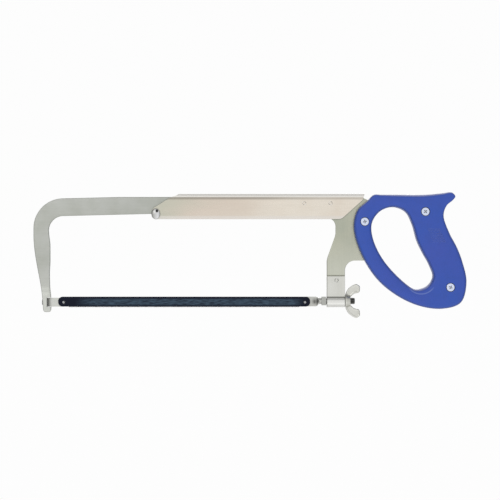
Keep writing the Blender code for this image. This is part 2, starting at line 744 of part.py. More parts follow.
def build_tension_bolt(materials, parent):
    """Blade tab, round neck, square block and a threaded shank with a flat on top."""
    into = 1.0 * MM                 # how far each shape runs into the next
    outline = tab_outline(REAR_PIN_X - TAB_REACH, BOLT_NECK_X, BOLT_TAB_Z, BOLT_TAB_HALF)
    tab = prism("tension_bolt", outline, TAB_FRONT_Y, TAB_BACK_Y)
    bolt = add_part("tension_bolt", tab, materials["zinc"], parent)
    neck = rod("bolt_neck", BOLT_NECK_RADIUS, BOLT_NECK_X - into, BOLT_BLOCK_X[0] + into, "X")
    combine(bolt, "UNION", neck, (0.0, 0.0, BOLT_Z))
    across, up = BOLT_BLOCK_HALF
    stop = block("bolt_block", (BOLT_BLOCK_X[0], -across, BOLT_Z - up),
                 (BOLT_BLOCK_X[1], across, BOLT_Z + up))
    combine(bolt, "UNION", stop)
    shank = rod("bolt_shank", BOLT_RADIUS, BOLT_BLOCK_X[1] - into, BOLT_END_X, "X",
                BOLT_CHAMFER)
    combine(bolt, "UNION", shank, (0.0, 0.0, BOLT_Z))
    flat = block("bolt_flat", (BOLT_BLOCK_X[1] + GAP, -CUT_REACH, BOLT_FLAT_Z),
                 (BOLT_FLAT_END_X, CUT_REACH, BOLT_FLAT_Z + CUT_REACH))
    combine(bolt, "DIFFERENCE", flat)
    drill_tab(bolt, REAR_PIN_X + PIN_OFFSET)
    add_part("rear_blade_pin", blade_pin_mesh(), materials["bright_steel"], parent,
             (REAR_PIN_X + PIN_OFFSET, 0.0, PIN_Z))


def build_wing_nut(materials, parent):
    """Round tapered hub with two ears that lean outwards."""
    edge = NUT_EDGE
    profile = [
        (NUT_BORE_RADIUS, 0.0),
        (NUT_BASE_RADIUS - edge, 0.0),
        (NUT_BASE_RADIUS, edge),
        (NUT_TOP_RADIUS, NUT_HEIGHT - edge),
        (NUT_TOP_RADIUS - edge, NUT_HEIGHT),
        (NUT_BORE_RADIUS, NUT_HEIGHT),
    ]
    nut = add_part("wing_nut", turned("wing_nut", profile, "X"), materials["zinc"], parent,
                   (NUT_BASE_X, 0.0, BOLT_Z))
    for side in (1.0, -1.0):
        ear = rounded_outline([
            (0.6 * MM, side * 5.2 * MM, 0.0),
            (0.6 * MM, side * 9.6 * MM, 1.5 * MM),
            (3.6 * MM, side * 15.2 * MM, 3.0 * MM),
            (8.6 * MM, side * 19.3 * MM, 4.0 * MM),
            (14.0 * MM, side * 21.6 * MM, 3.0 * MM),
            (18.8 * MM, side * 18.2 * MM, 3.0 * MM),
            (18.1 * MM, side * 10.2 * MM, 2.5 * MM),
            (11.2 * MM, side * 9.0 * MM, 4.0 * MM),
            (6.0 * MM, side * 5.0 * MM, 0.0),
        ])
        wing = prism("nut_wing", ear, -WING_HALF, WING_HALF)
        combine(nut, "UNION", wing, (NUT_BASE_X, 0.0, BOLT_Z))


# --------------------------------------------------------------------------- handle

# (x, z, edge rounding) round the outside, from the top front corner over the horn
HANDLE_OUTSIDE = [
    (-78.5 * MM, 63.8 * MM, 2.5 * MM),
    (-70.0 * MM, 63.8 * MM, 3.0 * MM),
    (-49.7 * MM, 63.0 * MM, 4.0 * MM),
    (-18.0 * MM, 62.3 * MM, 4.5 * MM),
    (5.6 * MM, 64.2 * MM, 3.0 * MM),
    (17.6 * MM, 65.9 * MM, 2.0 * MM),
    (22.0 * MM, 61.8 * MM, 2.0 * MM),
    (18.8 * MM, 57.0 * MM, 1.8 * MM),
    (11.2 * MM, 50.3 * MM, 1.8 * MM),
    (7.5 * MM, 38.0 * MM, 3.0 * MM),
    (15.0 * MM, 16.0 * MM, 4.5 * MM),
    (23.8 * MM, -0.7 * MM, 4.5 * MM),
    (30.6 * MM, -18.4 * MM, 4.5 * MM),
    (36.0 * MM, -44.7 * MM, 4.5 * MM),
    (28.9 * MM, -69.9 * MM, 4.5 * MM),
    (4.8 * MM, -77.6 * MM, 4.5 * MM),
    (-31.1 * MM, -71.0 * MM, 4.5 * MM),
    (-70.3 * MM, -45.2 * MM, 4.5 * MM),
    (-94.3 * MM, -9.2 * MM, 4.5 * MM),
    (-103.6 * MM, 24.0 * MM, 4.5 * MM),
    (-98.9 * MM, 44.6 * MM, 4.0 * MM),
    (-86.6 * MM, 56.2 * MM, 3.0 * MM),
]

HAND_OPENING = [
    (-54.8 * MM, 48.6 * MM),
    (-39.4 * MM, 42.7 * MM),
    (-31.0 * MM, 27.0 * MM),
    (-25.2 * MM, 6.9 * MM),
    (-17.8 * MM, -8.5 * MM),
    (-9.9 * MM, -23.0 * MM),
    (-5.3 * MM, -38.0 * MM),
    (-12.3 * MM, -49.5 * MM),
    (-26.8 * MM, -53.6 * MM),
    (-38.6 * MM, -47.0 * MM),
    (-66.3 * MM, -18.2 * MM),
    (-79.9 * MM, 9.4 * MM),
    (-81.2 * MM, 28.5 * MM),
    (-71.2 * MM, 43.2 * MM),
]


def nearest_loop(outside, inside):
    """For each outer point, the inner curve's point that faces it, evenly spread."""
    count = len(inside)
    places = []
    for point in outside:
        gaps = np.linalg.norm(inside - point, axis=1)
        place = float(np.argmin(gaps))
        while places and place < places[-1] - count / 2.0:
            place += count
        places.append(max(place, places[-1]) if places else place)
    lap = np.array(places)
    padded = np.concatenate((lap[-2:] - count, lap, lap[:2] + count))
    evened = sum(padded[shift:shift + len(lap)] for shift in range(5)) / 5.0
    closed = np.vstack((inside, inside, inside[:1]))
    steps = np.arange(len(closed))
    return np.column_stack([np.interp(evened % count, steps, closed[:, k]) for k in (0, 1)])


def loop_normals(curve):
    """Unit normals of a clockwise closed curve, pointing away from its inside."""
    along = np.roll(curve, -1, axis=0) - np.roll(curve, 1, axis=0)
    along /= np.linalg.norm(along, axis=1)[:, None]
    return np.column_stack((-along[:, 1], along[:, 0]))


def shell_sections(side):
    """Rings round the handle that together wrap one hollow half shell."""
    control = smooth_loop(HANDLE_OUTSIDE, 4)
    outer = control[:, :2]
    rounding = control[:, 2]
    inner = nearest_loop(outer, smooth_loop(HAND_OPENING, 40))
    outer_normal = loop_normals(outer)
    chord = outer - inner
    width = np.linalg.norm(chord, axis=1)
    chord /= width[:, None]
    meet = side * GAP / 2.0
    top = side * GRIP_HALF
    rings = [(inner, meet)]
    for angle in (0.0, 45.0, 90.0):
        inset = GRIP_EDGE * (1.0 - math.cos(math.radians(angle)))
        level = GRIP_HALF - GRIP_EDGE * (1.0 - math.sin(math.radians(angle)))
        rings.append((inner + chord * inset, side * level))
    for angle in (90.0, 45.0, 0.0):
        inset = rounding * (1.0 - math.cos(math.radians(angle)))
        level = GRIP_HALF - rounding * (1.0 - math.sin(math.radians(angle)))
        rings.append((outer - outer_normal * inset[:, None], side * level))
    rings.append((outer, meet))
    wall = np.maximum(GRIP_WALL, width - GRIP_CAVITY)
    cavity_outer = outer - chord * wall[:, None]
    cavity_inner = inner + chord * GRIP_WALL
    floor = top - side * GRIP_FACE
    rings += [(cavity_outer, meet), (cavity_outer, floor), (cavity_inner, floor),
              (cavity_inner, meet)]
    sections = []
    for place in range(len(outer)):
        section = []
        for points, level in rings:
            height = level[place] if isinstance(level, np.ndarray) else level
            section.append((points[place][0], height, points[place][1]))
        sections.append(section)
    return sections


def at_each(mesh, places):
    """One mesh with a copy of `mesh` at each (x, z) place."""
    shape = bmesh.new()
    for x, z in places:
        known = len(shape.verts)
        shape.from_mesh(mesh)
        for vert in shape.verts[known:]:
            vert.co += Vector((x, 0.0, z))
    return finish_mesh(mesh.name, shape)


def build_shell(name, side, recess, materials, parent):
    """Half shell with three screw bosses, a slot for the leg's tang and stepped holes."""
    shell = add_part(name, loft(name, shell_sections(side), closed=True),
                     materials["handle_blue"], parent)
    floor = side * (GRIP_HALF - GRIP_FACE / 2.0)
    meet = side * GAP / 2.0
    boss = rod("boss", BOSS_RADIUS, min(floor, meet), max(floor, meet), "Y")
    combine(shell, "UNION", at_each(boss, HANDLE_BOLTS))
    tang = prism("tang_pocket", leg_outline(GAP), -BAR_HALF - GAP, BAR_HALF + GAP)
    combine(shell, "DIFFERENCE", tang)
    hole = SCREW_RADIUS + GAP
    radius, depth = recess
    outside = side * CUT_REACH
    profile = [(0.0, outside), (radius, outside), (radius, depth), (hole, depth),
               (hole, -outside), (0.0, -outside)]
    combine(shell, "DIFFERENCE", at_each(turned("recess", profile, "Y"), HANDLE_BOLTS))


def build_handle(materials, parent):
    head_recess = (COUNTERBORE_RADIUS, SCREW_HEAD_Y[1] + GAP)
    nut_recess = (HEX_RADIUS + GAP, HEX_NUT_Y[0] - GAP)
    build_shell("handle_left_shell", -1.0, head_recess, materials, parent)
    build_shell("handle_right_shell", 1.0, nut_recess, materials, parent)


def screw_mesh():
    """Pan head, recessed in the left shell, on a shank that reaches the nut."""
    top, under = SCREW_HEAD_Y
    inset, drop = SCREW_HEAD_ROUND
    end = HEX_NUT_Y[1] - GAP
    profile = [
        (0.0, top),
        (SCREW_HEAD_RADIUS - inset, top),
        (SCREW_HEAD_RADIUS, top + drop),
        (SCREW_HEAD_RADIUS, under),
        (SCREW_RADIUS, under),
        (SCREW_RADIUS, end),
        (0.0, end),
    ]
    return turned("handle_bolt", profile, "Y")


def build_fasteners(materials, parent):
    arm_half, arm_width, arm_depth = SCREW_CROSS
    screw = screw_mesh()
    hexagon = rod("handle_nut", HEX_RADIUS, *HEX_NUT_Y, "Y", steps=6)
    for number, (x, z) in enumerate(HANDLE_BOLTS, 1):
        place = (x, 0.0, z)
        bolt = add_part(f"handle_bolt_{number}", screw, materials["bright_steel"],
                        parent, place)
        for half_x, half_z in ((arm_half, arm_width), (arm_width, arm_half)):
            arm = block("cross_arm", (-half_x, -CUT_REACH, -half_z),
                        (half_x, SCREW_HEAD_Y[0] + arm_depth, half_z))
            combine(bolt, "DIFFERENCE", arm, place)
        nut = add_part(f"handle_nut_{number}", hexagon, materials["zinc"], parent, place)
        drill(nut, [(x, z)], SCREW_RADIUS + GAP)


# ----------------------------------------------------------------------------- build

def main():
    clear_scene()
    materials = make_materials()
    frame = add_axis("frame_origin", (0.0, 0.0, 0.0))
    bow_axis = add_axis("bow_axis", (GUIDE_RIVET[0], 0.0, GUIDE_RIVET[1]))
    blade_axis = add_axis("blade_axis", (FRONT_PIN_X, 0.0, PIN_Z))
    tension_axis = add_axis("tension_axis", (NUT_BASE_X, 0.0, BOLT_Z))
    build_spine(materials, frame)
    build_rivets(materials, frame)
    build_leg(materials, frame)
    build_sleeve(materials, frame)
    build_handle(materials, frame)
    build_fasteners(materials, frame)
    build_front_bow(materials, bow_axis)
    build_front_stud(materials, bow_axis)
    build_tension_bolt(materials, tension_axis)
    build_wing_nut(materials, tension_axis)
    build_blade(materials, blade_axis)


main()
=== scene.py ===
"""Looks of the adjustable hacksaw: a finely made piece stands in for each CAD node.

Every shape is drawn in world metres, in the CAD model's own frame: the nose points to -X,
+Y goes away from the viewer, +Z is up, and the origin is the middle of the hand grip.
"""

import json
from math import ceil, copysign, cos, pi, radians, sin, sqrt, tan

import bmesh
import bpy
import numpy as np
from mathutils import Matrix, Vector, noise

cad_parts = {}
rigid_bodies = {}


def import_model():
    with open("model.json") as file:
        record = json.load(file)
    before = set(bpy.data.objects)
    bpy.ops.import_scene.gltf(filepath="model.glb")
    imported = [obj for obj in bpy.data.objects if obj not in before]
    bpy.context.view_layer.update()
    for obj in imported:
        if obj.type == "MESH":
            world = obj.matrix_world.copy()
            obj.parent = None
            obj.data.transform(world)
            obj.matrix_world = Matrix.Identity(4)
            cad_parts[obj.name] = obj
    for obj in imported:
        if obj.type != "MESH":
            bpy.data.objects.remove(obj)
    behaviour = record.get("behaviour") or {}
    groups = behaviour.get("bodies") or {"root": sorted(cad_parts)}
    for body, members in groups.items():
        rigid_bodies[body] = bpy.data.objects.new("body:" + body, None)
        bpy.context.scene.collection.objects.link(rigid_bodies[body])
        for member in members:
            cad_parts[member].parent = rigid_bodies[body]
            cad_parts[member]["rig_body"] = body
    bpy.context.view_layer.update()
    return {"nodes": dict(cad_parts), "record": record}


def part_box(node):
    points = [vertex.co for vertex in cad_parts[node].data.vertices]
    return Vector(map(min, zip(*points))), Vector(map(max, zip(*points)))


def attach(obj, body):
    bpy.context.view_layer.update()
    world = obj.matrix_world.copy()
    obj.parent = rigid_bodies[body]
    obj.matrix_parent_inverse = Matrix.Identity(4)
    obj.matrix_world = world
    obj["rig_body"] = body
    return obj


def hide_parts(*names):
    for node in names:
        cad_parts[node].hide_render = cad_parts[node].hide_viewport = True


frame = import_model()

MM = 0.001
GAP = 0.3 * MM
CUT_REACH = 20.0 * MM


def centre_of(node):
    low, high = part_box(node)
    return (Vector(low) + Vector(high)) / 2.0


FRONT_PIN = centre_of("front_blade_pin")
REAR_PIN = centre_of("rear_blade_pin")
PIN_Z = FRONT_PIN.z
GUIDE_RIVET = centre_of("guide_rivet")
GUIDE_DENT = GUIDE_RIVET + Vector((1.5 * MM, 0.0, 5.5 * MM))
BOLT_Z = centre_of("wing_nut").z
HANDLE_BOLTS = [centre_of(f"handle_bolt_{number}") for number in (1, 2, 3)]

# Front bow
BAR_HALF = 2.5 * MM
BAR_EDGE_RADIUS = 1.0 * MM
BAR_SLOPE = radians(1.4)
BAR_TOP = (-407.0 * MM, 60.9 * MM)
BAR_HEIGHT = 22.0 * MM
BOW_OUTER_RADIUS = 37.0 * MM
BOW_INNER_RADIUS = 18.0 * MM
BOW_FRONT_X = -501.3 * MM
BOW_INNER_X = -482.3 * MM
BAR_TAIL_X = -228.0 * MM
TAIL_TOP_X = -395.0 * MM
NOTCH_X = -238.0 * MM
NOTCH_DEPTH = 2.4 * MM
SETTING_STEP = 50.8 * MM
LEG_FOOT_X = -489.3 * MM
LEG_INNER_X = -479.4 * MM
BOW_BOTTOM_Z = -81.8 * MM
FOOT_ROUND_Z = 4.6 * MM
LEG_TAPER_Z = (14.0 * MM, -80.0 * MM)
LEG_WAIST = ((20.0 * MM, BOW_INNER_X), (0.0, -480.4 * MM), (-18.0 * MM, -480.4 * MM),
             (-34.0 * MM, -481.1 * MM), (-46.0 * MM, -480.9 * MM), (-67.0 * MM, LEG_INNER_X))
BOSS_HALF = 4.6 * MM
BOSS_SWELL_Z = (-50.0 * MM, -62.0 * MM)
BOSS_NOTCH_X = -484.6 * MM

# Folded spine
SHEET = 1.1 * MM
SPINE_HALF = 4.0 * MM
SPINE_TOP_Z = 64.3 * MM
SPINE_BOTTOM_Z = 33.7 * MM
SPINE_FRONT_X = -353.6 * MM
SPINE_REAR_X = -89.0 * MM

# Leg plate and tension sleeve
LEG_FRONT_X = -137.0 * MM
LEG_REAR_X = -114.4 * MM
LEG_BOTTOM_Z = -64.6 * MM
TANG_FRONT_X = -174.0 * MM
SLEEVE_TOP_Z = -37.2 * MM
SLEEVE_SHEET = 1.5 * MM
SLEEVE_PINCH_Z = -61.5 * MM
BARREL_Z = -69.2 * MM
BARREL_RADIUS = 5.1 * MM

# Blade and its tabs
BLADE_THICKNESS = 0.65 * MM
BLADE_HOLE_RADIUS = 2.0 * MM
TOOTH_PITCH = 25.4 / 18.0 * MM
TOOTH_DEPTH = 0.9 * MM
TOOTHLESS_END = 13.0 * MM
BLADE_CORNER_RADIUS = 5.5 * MM
TEETH_PER_WAVE = 8
WAVE_SET = 0.16 * MM
PIN_RADIUS = 1.6 * MM
TAB_FRONT_Y = BLADE_THICKNESS / 2.0 + GAP
TAB_BACK_Y = TAB_FRONT_Y + 3.2 * MM
TAB_REACH = 5.4 * MM

# Tension bolt and wing nut
BOLT_TAB_Z = -68.7 * MM
BOLT_TAB_HALF = 6.0 * MM
BOLT_RADIUS = 4.1 * MM
BOLT_FLAT_Z = -64.9 * MM
BOLT_FLAT_END_X = -113.2 * MM
BOLT_BLOCK_X = (-143.6 * MM, -137.7 * MM)
BOLT_NECK_X = -145.6 * MM
BOLT_NECK_RADIUS = 3.8 * MM
BOLT_END_X = -102.2 * MM
THREAD_PITCH = 1.25 * MM
THREAD_DEPTH = 0.62 * MM
NUT_BASE_X = -114.1 * MM
NUT_BORE_RADIUS = BOLT_RADIUS + GAP
NUT_HEIGHT = 6.6 * MM

# Handle
GRIP_HALF = 12.5 * MM
GRIP_EDGE = 4.5 * MM
GRIP_CROWN = 0.5 * MM
GRIP_WALL = 3.0 * MM
GRIP_FACE = 3.5 * MM
GRIP_CAVITY = 34.0 * MM
PARTING_CHAMFER = 0.35 * MM
BOSS_RADIUS = 7.0 * MM
SCREW_RADIUS = 2.5 * MM
SCREW_HEAD_RADIUS = 5.4 * MM
SCREW_HEAD_Y = (-12.1 * MM, -9.4 * MM)
CROSS_HALF = Vector((2.5 * MM, 0.62 * MM))
HEX_RADIUS = 4.6 * MM
HEX_NUT_Y = (8.0 * MM, 12.0 * MM)

ARC_STEP = radians(6.0)
ROUND_STEPS = 64
SHARP_ANGLE = radians(32.0)


# ---- outlines

def rounded_outline(corners):
    """Closed outline from (a, b, radius) corners, each rounded by an arc."""
    points = []
    count = len(corners)
    for index, (a, b, radius) in enumerate(corners):
        corner = Vector((a, b))
        before = Vector(corners[index - 1][:2]) - corner
        after = Vector(corners[(index + 1) % count][:2]) - corner
        to_before = before.normalized()
        to_after = after.normalized()
        opening = to_before.angle(to_after)
        if radius <= 0.0 or opening > radians(179.0):
            points.append(corner)
            continue
        reach = radius / tan(opening / 2.0)
        limit = 0.499 * min(before.length, after.length)
        if reach > limit:
            radius *= limit / reach
            reach = limit
        inward = (to_before + to_after).normalized()
        centre = corner + inward * (radius / sin(opening / 2.0))
        start = corner + to_before * reach - centre
        turn = pi - opening
        if start.y * to_before.x - start.x * to_before.y < 0.0:
            turn = -turn
        steps = max(2, ceil(abs(turn) / ARC_STEP))
        for step in range(steps + 1):
            points.append(centre + Matrix.Rotation(turn * step / steps, 2) @ start)
    return points


def offset_outline(points, distance):
    """Move each point of a closed outline outwards by `distance`."""
    area = sum(p.x * q.y - q.x * p.y for p, q in zip(points, points[1:] + points[:1]))
    side = 1.0 if area > 0.0 else -1.0
    moved = []
    for index, point in enumerate(points):
        along = (points[(index + 1) % len(points)] - points[index - 1]).normalized()
        moved.append(point + Vector((along.y, -along.x)) * distance * side)
    return moved


def ribbon_outline(path, thickness):
    """Closed outline of a strip of sheet that follows an open path."""
    left = []
    right = []
    for index, point in enumerate(path):
        into = path[max(index, 1)] - path[max(index, 1) - 1]
        out_index = min(index, len(path) - 2)
        out = path[out_index + 1] - path[out_index]
        along = (into.normalized() + out.normalized()).normalized()
        normal = Vector((-along.y, along.x))
        stretch = 1.0 / max(0.5, along.dot(out.normalized()))
        left.append(point + normal * thickness / 2.0 * stretch)
        right.append(point - normal * thickness / 2.0 * stretch)
    return left + right[::-1]


def arc_points(centre, radius, start, end, steps):
    """Points on an arc, with angles measured from +a towards +b."""
    angles = [start + (end - start) * step / steps for step in range(steps + 1)]
    return [Vector((centre[0] + radius * cos(t), centre[1] + radius * sin(t)))
            for t in angles]


def between(first, second, low, high, t):
    """The value at t on the line from `first` at low to `second` at high."""
    return (first * (high - t) + second * (t - low)) / (high - low)


def smooth_loop(control, per_span):
    """Closed centripetal Catmull-Rom curve through the rows of an array."""
    count = len(control)
    curve = []
    for index in range(count):
        p = [control[(index + shift) % count] for shift in (-1, 0, 1, 2)]
        knot = [0.0]
        for first, second in zip(p, p[1:]):
            knot.append(knot[-1] + sqrt(np.linalg.norm((second - first)[:2])))
        for step in range(per_span):
            t = between(knot[1], knot[2], 0.0, 1.0, step / per_span)
            a = [between(p[i], p[i + 1], knot[i], knot[i + 1], t) for i in range(3)]
            b = [between(a[i], a[i + 1], knot[i], knot[i + 2], t) for i in range(2)]
            curve.append(between(b[0], b[1], knot[1], knot[2], t))
    return np.array(curve)


def ease(value, start, end):
    """Smooth step from 0 at `start` to 1 at `end`."""
    t = min(1.0, max(0.0, (value - start) / (end - start)))
    return t * t * (3.0 - 2.0 * t)


# ---- meshes

def finish_mesh(name, shape):
    bmesh.ops.recalc_face_normals(shape, faces=shape.faces)
    mesh = bpy.data.meshes.new(name)
    shape.to_mesh(mesh)
    shape.free()
    return mesh


def skin(name, rings, ends=True):
    """Join rings with equal point counts; cap both ends, or close the row on itself."""
    shape = bmesh.new()
    rings = [[shape.verts.new(point) for point in ring] for ring in rings]
    pairs = list(zip(rings, rings[1:]))
    if ends:
        shape.faces.new(rings[0])
        shape.faces.new(rings[-1])
    else:
        pairs.append((rings[-1], rings[0]))
    for first, second in pairs:
        for index in range(len(first)):
            after = (index + 1) % len(first)
            shape.faces.new((first[index], first[after], second[after], second[index]))
    return finish_mesh(name, shape)


def plate(name, outline, low, high, edge=0.0, along="Y", steps=3):
    """Extruded outline whose two rims are rounded by `edge`."""
    place = {
        "Y": lambda p, level: (p[0], level, p[1]),
        "X": lambda p, level: (level, p[0], p[1]),
    }[along]
    turns = [radians(90.0) * step / steps for step in range(steps + 1)] if edge else [0.0]
    levels = [(edge * (1.0 - sin(t)), low + edge * (1.0 - cos(t))) for t in turns]
    levels += [(inset, high + low - level) for inset, level in reversed(levels)]
    rings = []
    for inset, level in levels:
        points = offset_outline(outline, -inset) if inset > 0.0 else outline
        rings.append([place(point, level) for point in points])
    return skin(name, rings)


def block(name, low, high):
    """Box from its lowest to its highest corner."""
    outline = [(low[0], low[2]), (high[0], low[2]), (high[0], high[2]), (low[0], high[2])]
    return plate(name, [Vector(point) for point in outline], low[1], high[1])


def turned(name, profile, axis, centre=(0.0, 0.0, 0.0), steps=ROUND_STEPS):
    """Turn (radius, height) points about `axis` through `centre`.

    A profile that starts and ends on the axis is open; any other is closed into a ring.
    """
    shape = bmesh.new()
    rings = []
    for radius, height in profile:
        count = steps if radius > 1e-9 else 1
        ring = []
        for step in range(count):
            angle = 2.0 * pi * (step + 0.5) / steps
            a = radius * cos(angle)
            b = radius * sin(angle)
            offset = (height, a, b) if axis == "X" else (a, height, b)
            ring.append(shape.verts.new(Vector(centre) + Vector(offset)))
        rings.append(ring)
    pairs = list(zip(rings, rings[1:]))
    if len(rings[0]) > 1:
        pairs.append((rings[-1], rings[0]))
    for lower, upper in pairs:
        for step in range(steps):
            after = (step + 1) % steps
            if len(lower) == 1:
                shape.faces.new((lower[0], upper[step], upper[after]))
            elif len(upper) == 1:
                shape.faces.new((lower[step], lower[after], upper[0]))
            else:
                shape.faces.new((lower[step], lower[after], upper[after], upper[step]))
    return finish_mesh(name, shape)


def rod(name, radius, low, high, axis, centre=(0.0, 0.0, 0.0), edge=0.0, steps=ROUND_STEPS):
    """Solid round bar with rounded rims."""
    corners = [(0.0, low, 0.0), (radius, low, edge), (radius, high, edge), (0.0, high, 0.0)]
    return turned(name, rounded_outline(corners), axis, centre, steps)


def ball(name, radius, centre, rows, steps):
    profile = [(radius * sin(t), -radius * cos(t))
               for t in np.linspace(0.0, pi, rows)]
    return turned(name, profile, "Y", centre, steps)


def tube_along(name, path, radius, sides=12):
    """Closed round ring along a closed path in the XZ plane."""
    rings = []
    for index, point in enumerate(path):
        along = (path[(index + 1) % len(path)] - path[index - 1]).normalized()
        across = Vector((-along.y, along.x))
        ring = []
        for side in range(sides):
            angle = 2.0 * pi * side / sides
            flat = point + across * radius * cos(angle)
            ring.append((flat.x, radius * sin(angle), flat.y))
        rings.append(ring)
    return skin(name, rings, ends=False)


def joined(name, meshes):
    """One mesh that holds a copy of each given mesh."""
    shape = bmesh.new()
    for mesh in meshes:
        shape.from_mesh(mesh)
    return finish_mesh(name, shape)


def placed(name, data):
    """New object in the scene that holds a mesh, light or camera."""
    thing = bpy.data.objects.new(name, data)
    bpy.context.scene.collection.objects.link(thing)
    return thing


def modify(thing, kind, **settings):
    modifier = thing.modifiers.new(kind.lower(), kind)
    for key, value in settings.items():
        setattr(modifier, key, value)


def evaluate(mesh, *, tools=(), bevel=0.0, remesh=0.0, relax=0):
    """Run modifiers on a mesh and give back the plain result."""
    thing = placed(mesh.name, mesh)
    helpers = [thing]
    for operation, tool_mesh in tools:
        helpers.append(placed("tool", tool_mesh))
        modify(thing, "BOOLEAN", operation=operation, object=helpers[-1])
    if remesh:
        modify(thing, "REMESH", mode="VOXEL", voxel_size=remesh)
    if relax:
        modify(thing, "SMOOTH", factor=0.5, iterations=relax)
    if bevel:
        modify(thing, "BEVEL", width=bevel, segments=3, limit_method="ANGLE",
               angle_limit=radians(42.0))
    depsgraph = bpy.context.evaluated_depsgraph_get()
    result = bpy.data.meshes.new_from_object(thing.evaluated_get(depsgraph))
    result.name = mesh.name
    for helper in helpers:
        bpy.data.objects.remove(helper)
    return result


SLOT_OF = {row["node"]: row["material_slot"] for row in frame["record"]["subparts"]}


def show(node, mesh, look=None):
    """Put a finished mesh in place of a CAD node, on the same body, with its material slot's look
    unless `look` names another.
    """
    thing = placed(f"{node}_made", mesh)
    mesh.materials.clear()
    mesh.materials.append(LOOKS[look or SLOT_OF[node]])
    mesh.shade_smooth()
    mesh.set_sharp_from_angle(angle=SHARP_ANGLE)
    modify(thing, "WEIGHTED_NORMAL", keep_sharp=True, weight=80)
    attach(thing, frame["nodes"][node]["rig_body"])
    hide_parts(node)
    return thing


# ---- materials

class Nodes:
    """Node-building calls; `place` is the coordinate socket that patterns are laid on."""

    def __init__(self, tree):
        self.tree = tree
        self.place = None

    def node(self, kind, **settings):
        made = self.tree.nodes.new(kind)
        for key, value in settings.items():
            setattr(made, key, value)
        return made

    def link(self, source, target):
        self.tree.links.new(source, target)

    def cloud(self, scale, detail, roughness, turn=(0.0, 0.0, 0.0)):
        """Noise of about 0 to 1, with its coordinates scaled on each axis and turned."""
        mapping = self.node("ShaderNodeMapping")
        mapping.inputs["Scale"].default_value = scale
        mapping.inputs["Rotation"].default_value = turn
        self.link(self.place, mapping.inputs["Vector"])
        made = self.node("ShaderNodeTexNoise")
        for key, value in (("Scale", 1.0), ("Detail", detail), ("Roughness", roughness)):
            made.inputs[key].default_value = value
        self.link(mapping.outputs["Vector"], made.inputs["Vector"])
        return made.outputs["Fac"]

    def remap(self, value, low, high, to_low, to_high):
        made = self.node("ShaderNodeMapRange", clamp=True)
        self.link(value, made.inputs["Value"])
        settings = {"From Min": low, "From Max": high, "To Min": to_low, "To Max": to_high}
        for key, number in settings.items():
            made.inputs[key].default_value = number
        return made.outputs["Result"]

    def maths(self, operation, first, second):
        made = self.node("ShaderNodeMath", operation=operation)
        for socket, value in zip(made.inputs, (first, second)):
            if isinstance(value, float):
                socket.default_value = value
            else:
                self.link(value, socket)
        return made.outputs["Value"]

    def times(self, first, second):
        return self.maths("MULTIPLY", first, second)

    def band(self, value, rise, fall, amount=1.0):
        """Up to `amount` between the ramps `rise` and `fall`, and 0 outside them."""
        return self.times(self.remap(value, *rise, 0.0, 1.0),
                          self.remap(value, *fall, amount, 0.0))

    def mix(self, factor, first, second):
        """Mix two colours; each is a socket or three numbers."""
        made = self.node("ShaderNodeMix", data_type="RGBA")
        for name, value in (("A", first), ("B", second)):
            socket = next(s for s in made.inputs if s.name == name and s.type == "RGBA")
            if isinstance(value, tuple):
                socket.default_value = (*value, 1.0)
            else:
                self.link(value, socket)
        if isinstance(factor, float):
            made.inputs["Factor"].default_value = factor
        else:
            self.link(factor, made.inputs["Factor"])
        return next(s for s in made.outputs if s.type == "RGBA")

    def fade(self, shade, rows):
        """Paint over `shade` by (value, none here, most here, most, colour) rows."""
        for value, start, end, most, paint in rows:
            shade = self.mix(self.remap(value, start, end, 0.0, most), shade, paint)
        return shade

    def coordinate(self, axis):
        split = self.node("ShaderNodeSeparateXYZ")
        self.link(self.place, split.inputs["Vector"])
        return split.outputs[axis]

    def distance(self, centre, weights):
        """Distance from a point, or from an axis where one of the weights is 0."""
        offset = self.node("ShaderNodeVectorMath", operation="SUBTRACT")
        self.link(self.place, offset.inputs[0])
        offset.inputs[1].default_value = centre
        weighed = self.node("ShaderNodeVectorMath", operation="MULTIPLY")
        self.link(offset.outputs["Vector"], weighed.inputs[0])
        weighed.inputs[1].default_value = weights
        length = self.node("ShaderNodeVectorMath", operation="LENGTH")
        self.link(weighed.outputs["Vector"], length.inputs[0])
        return length.outputs["Value"]


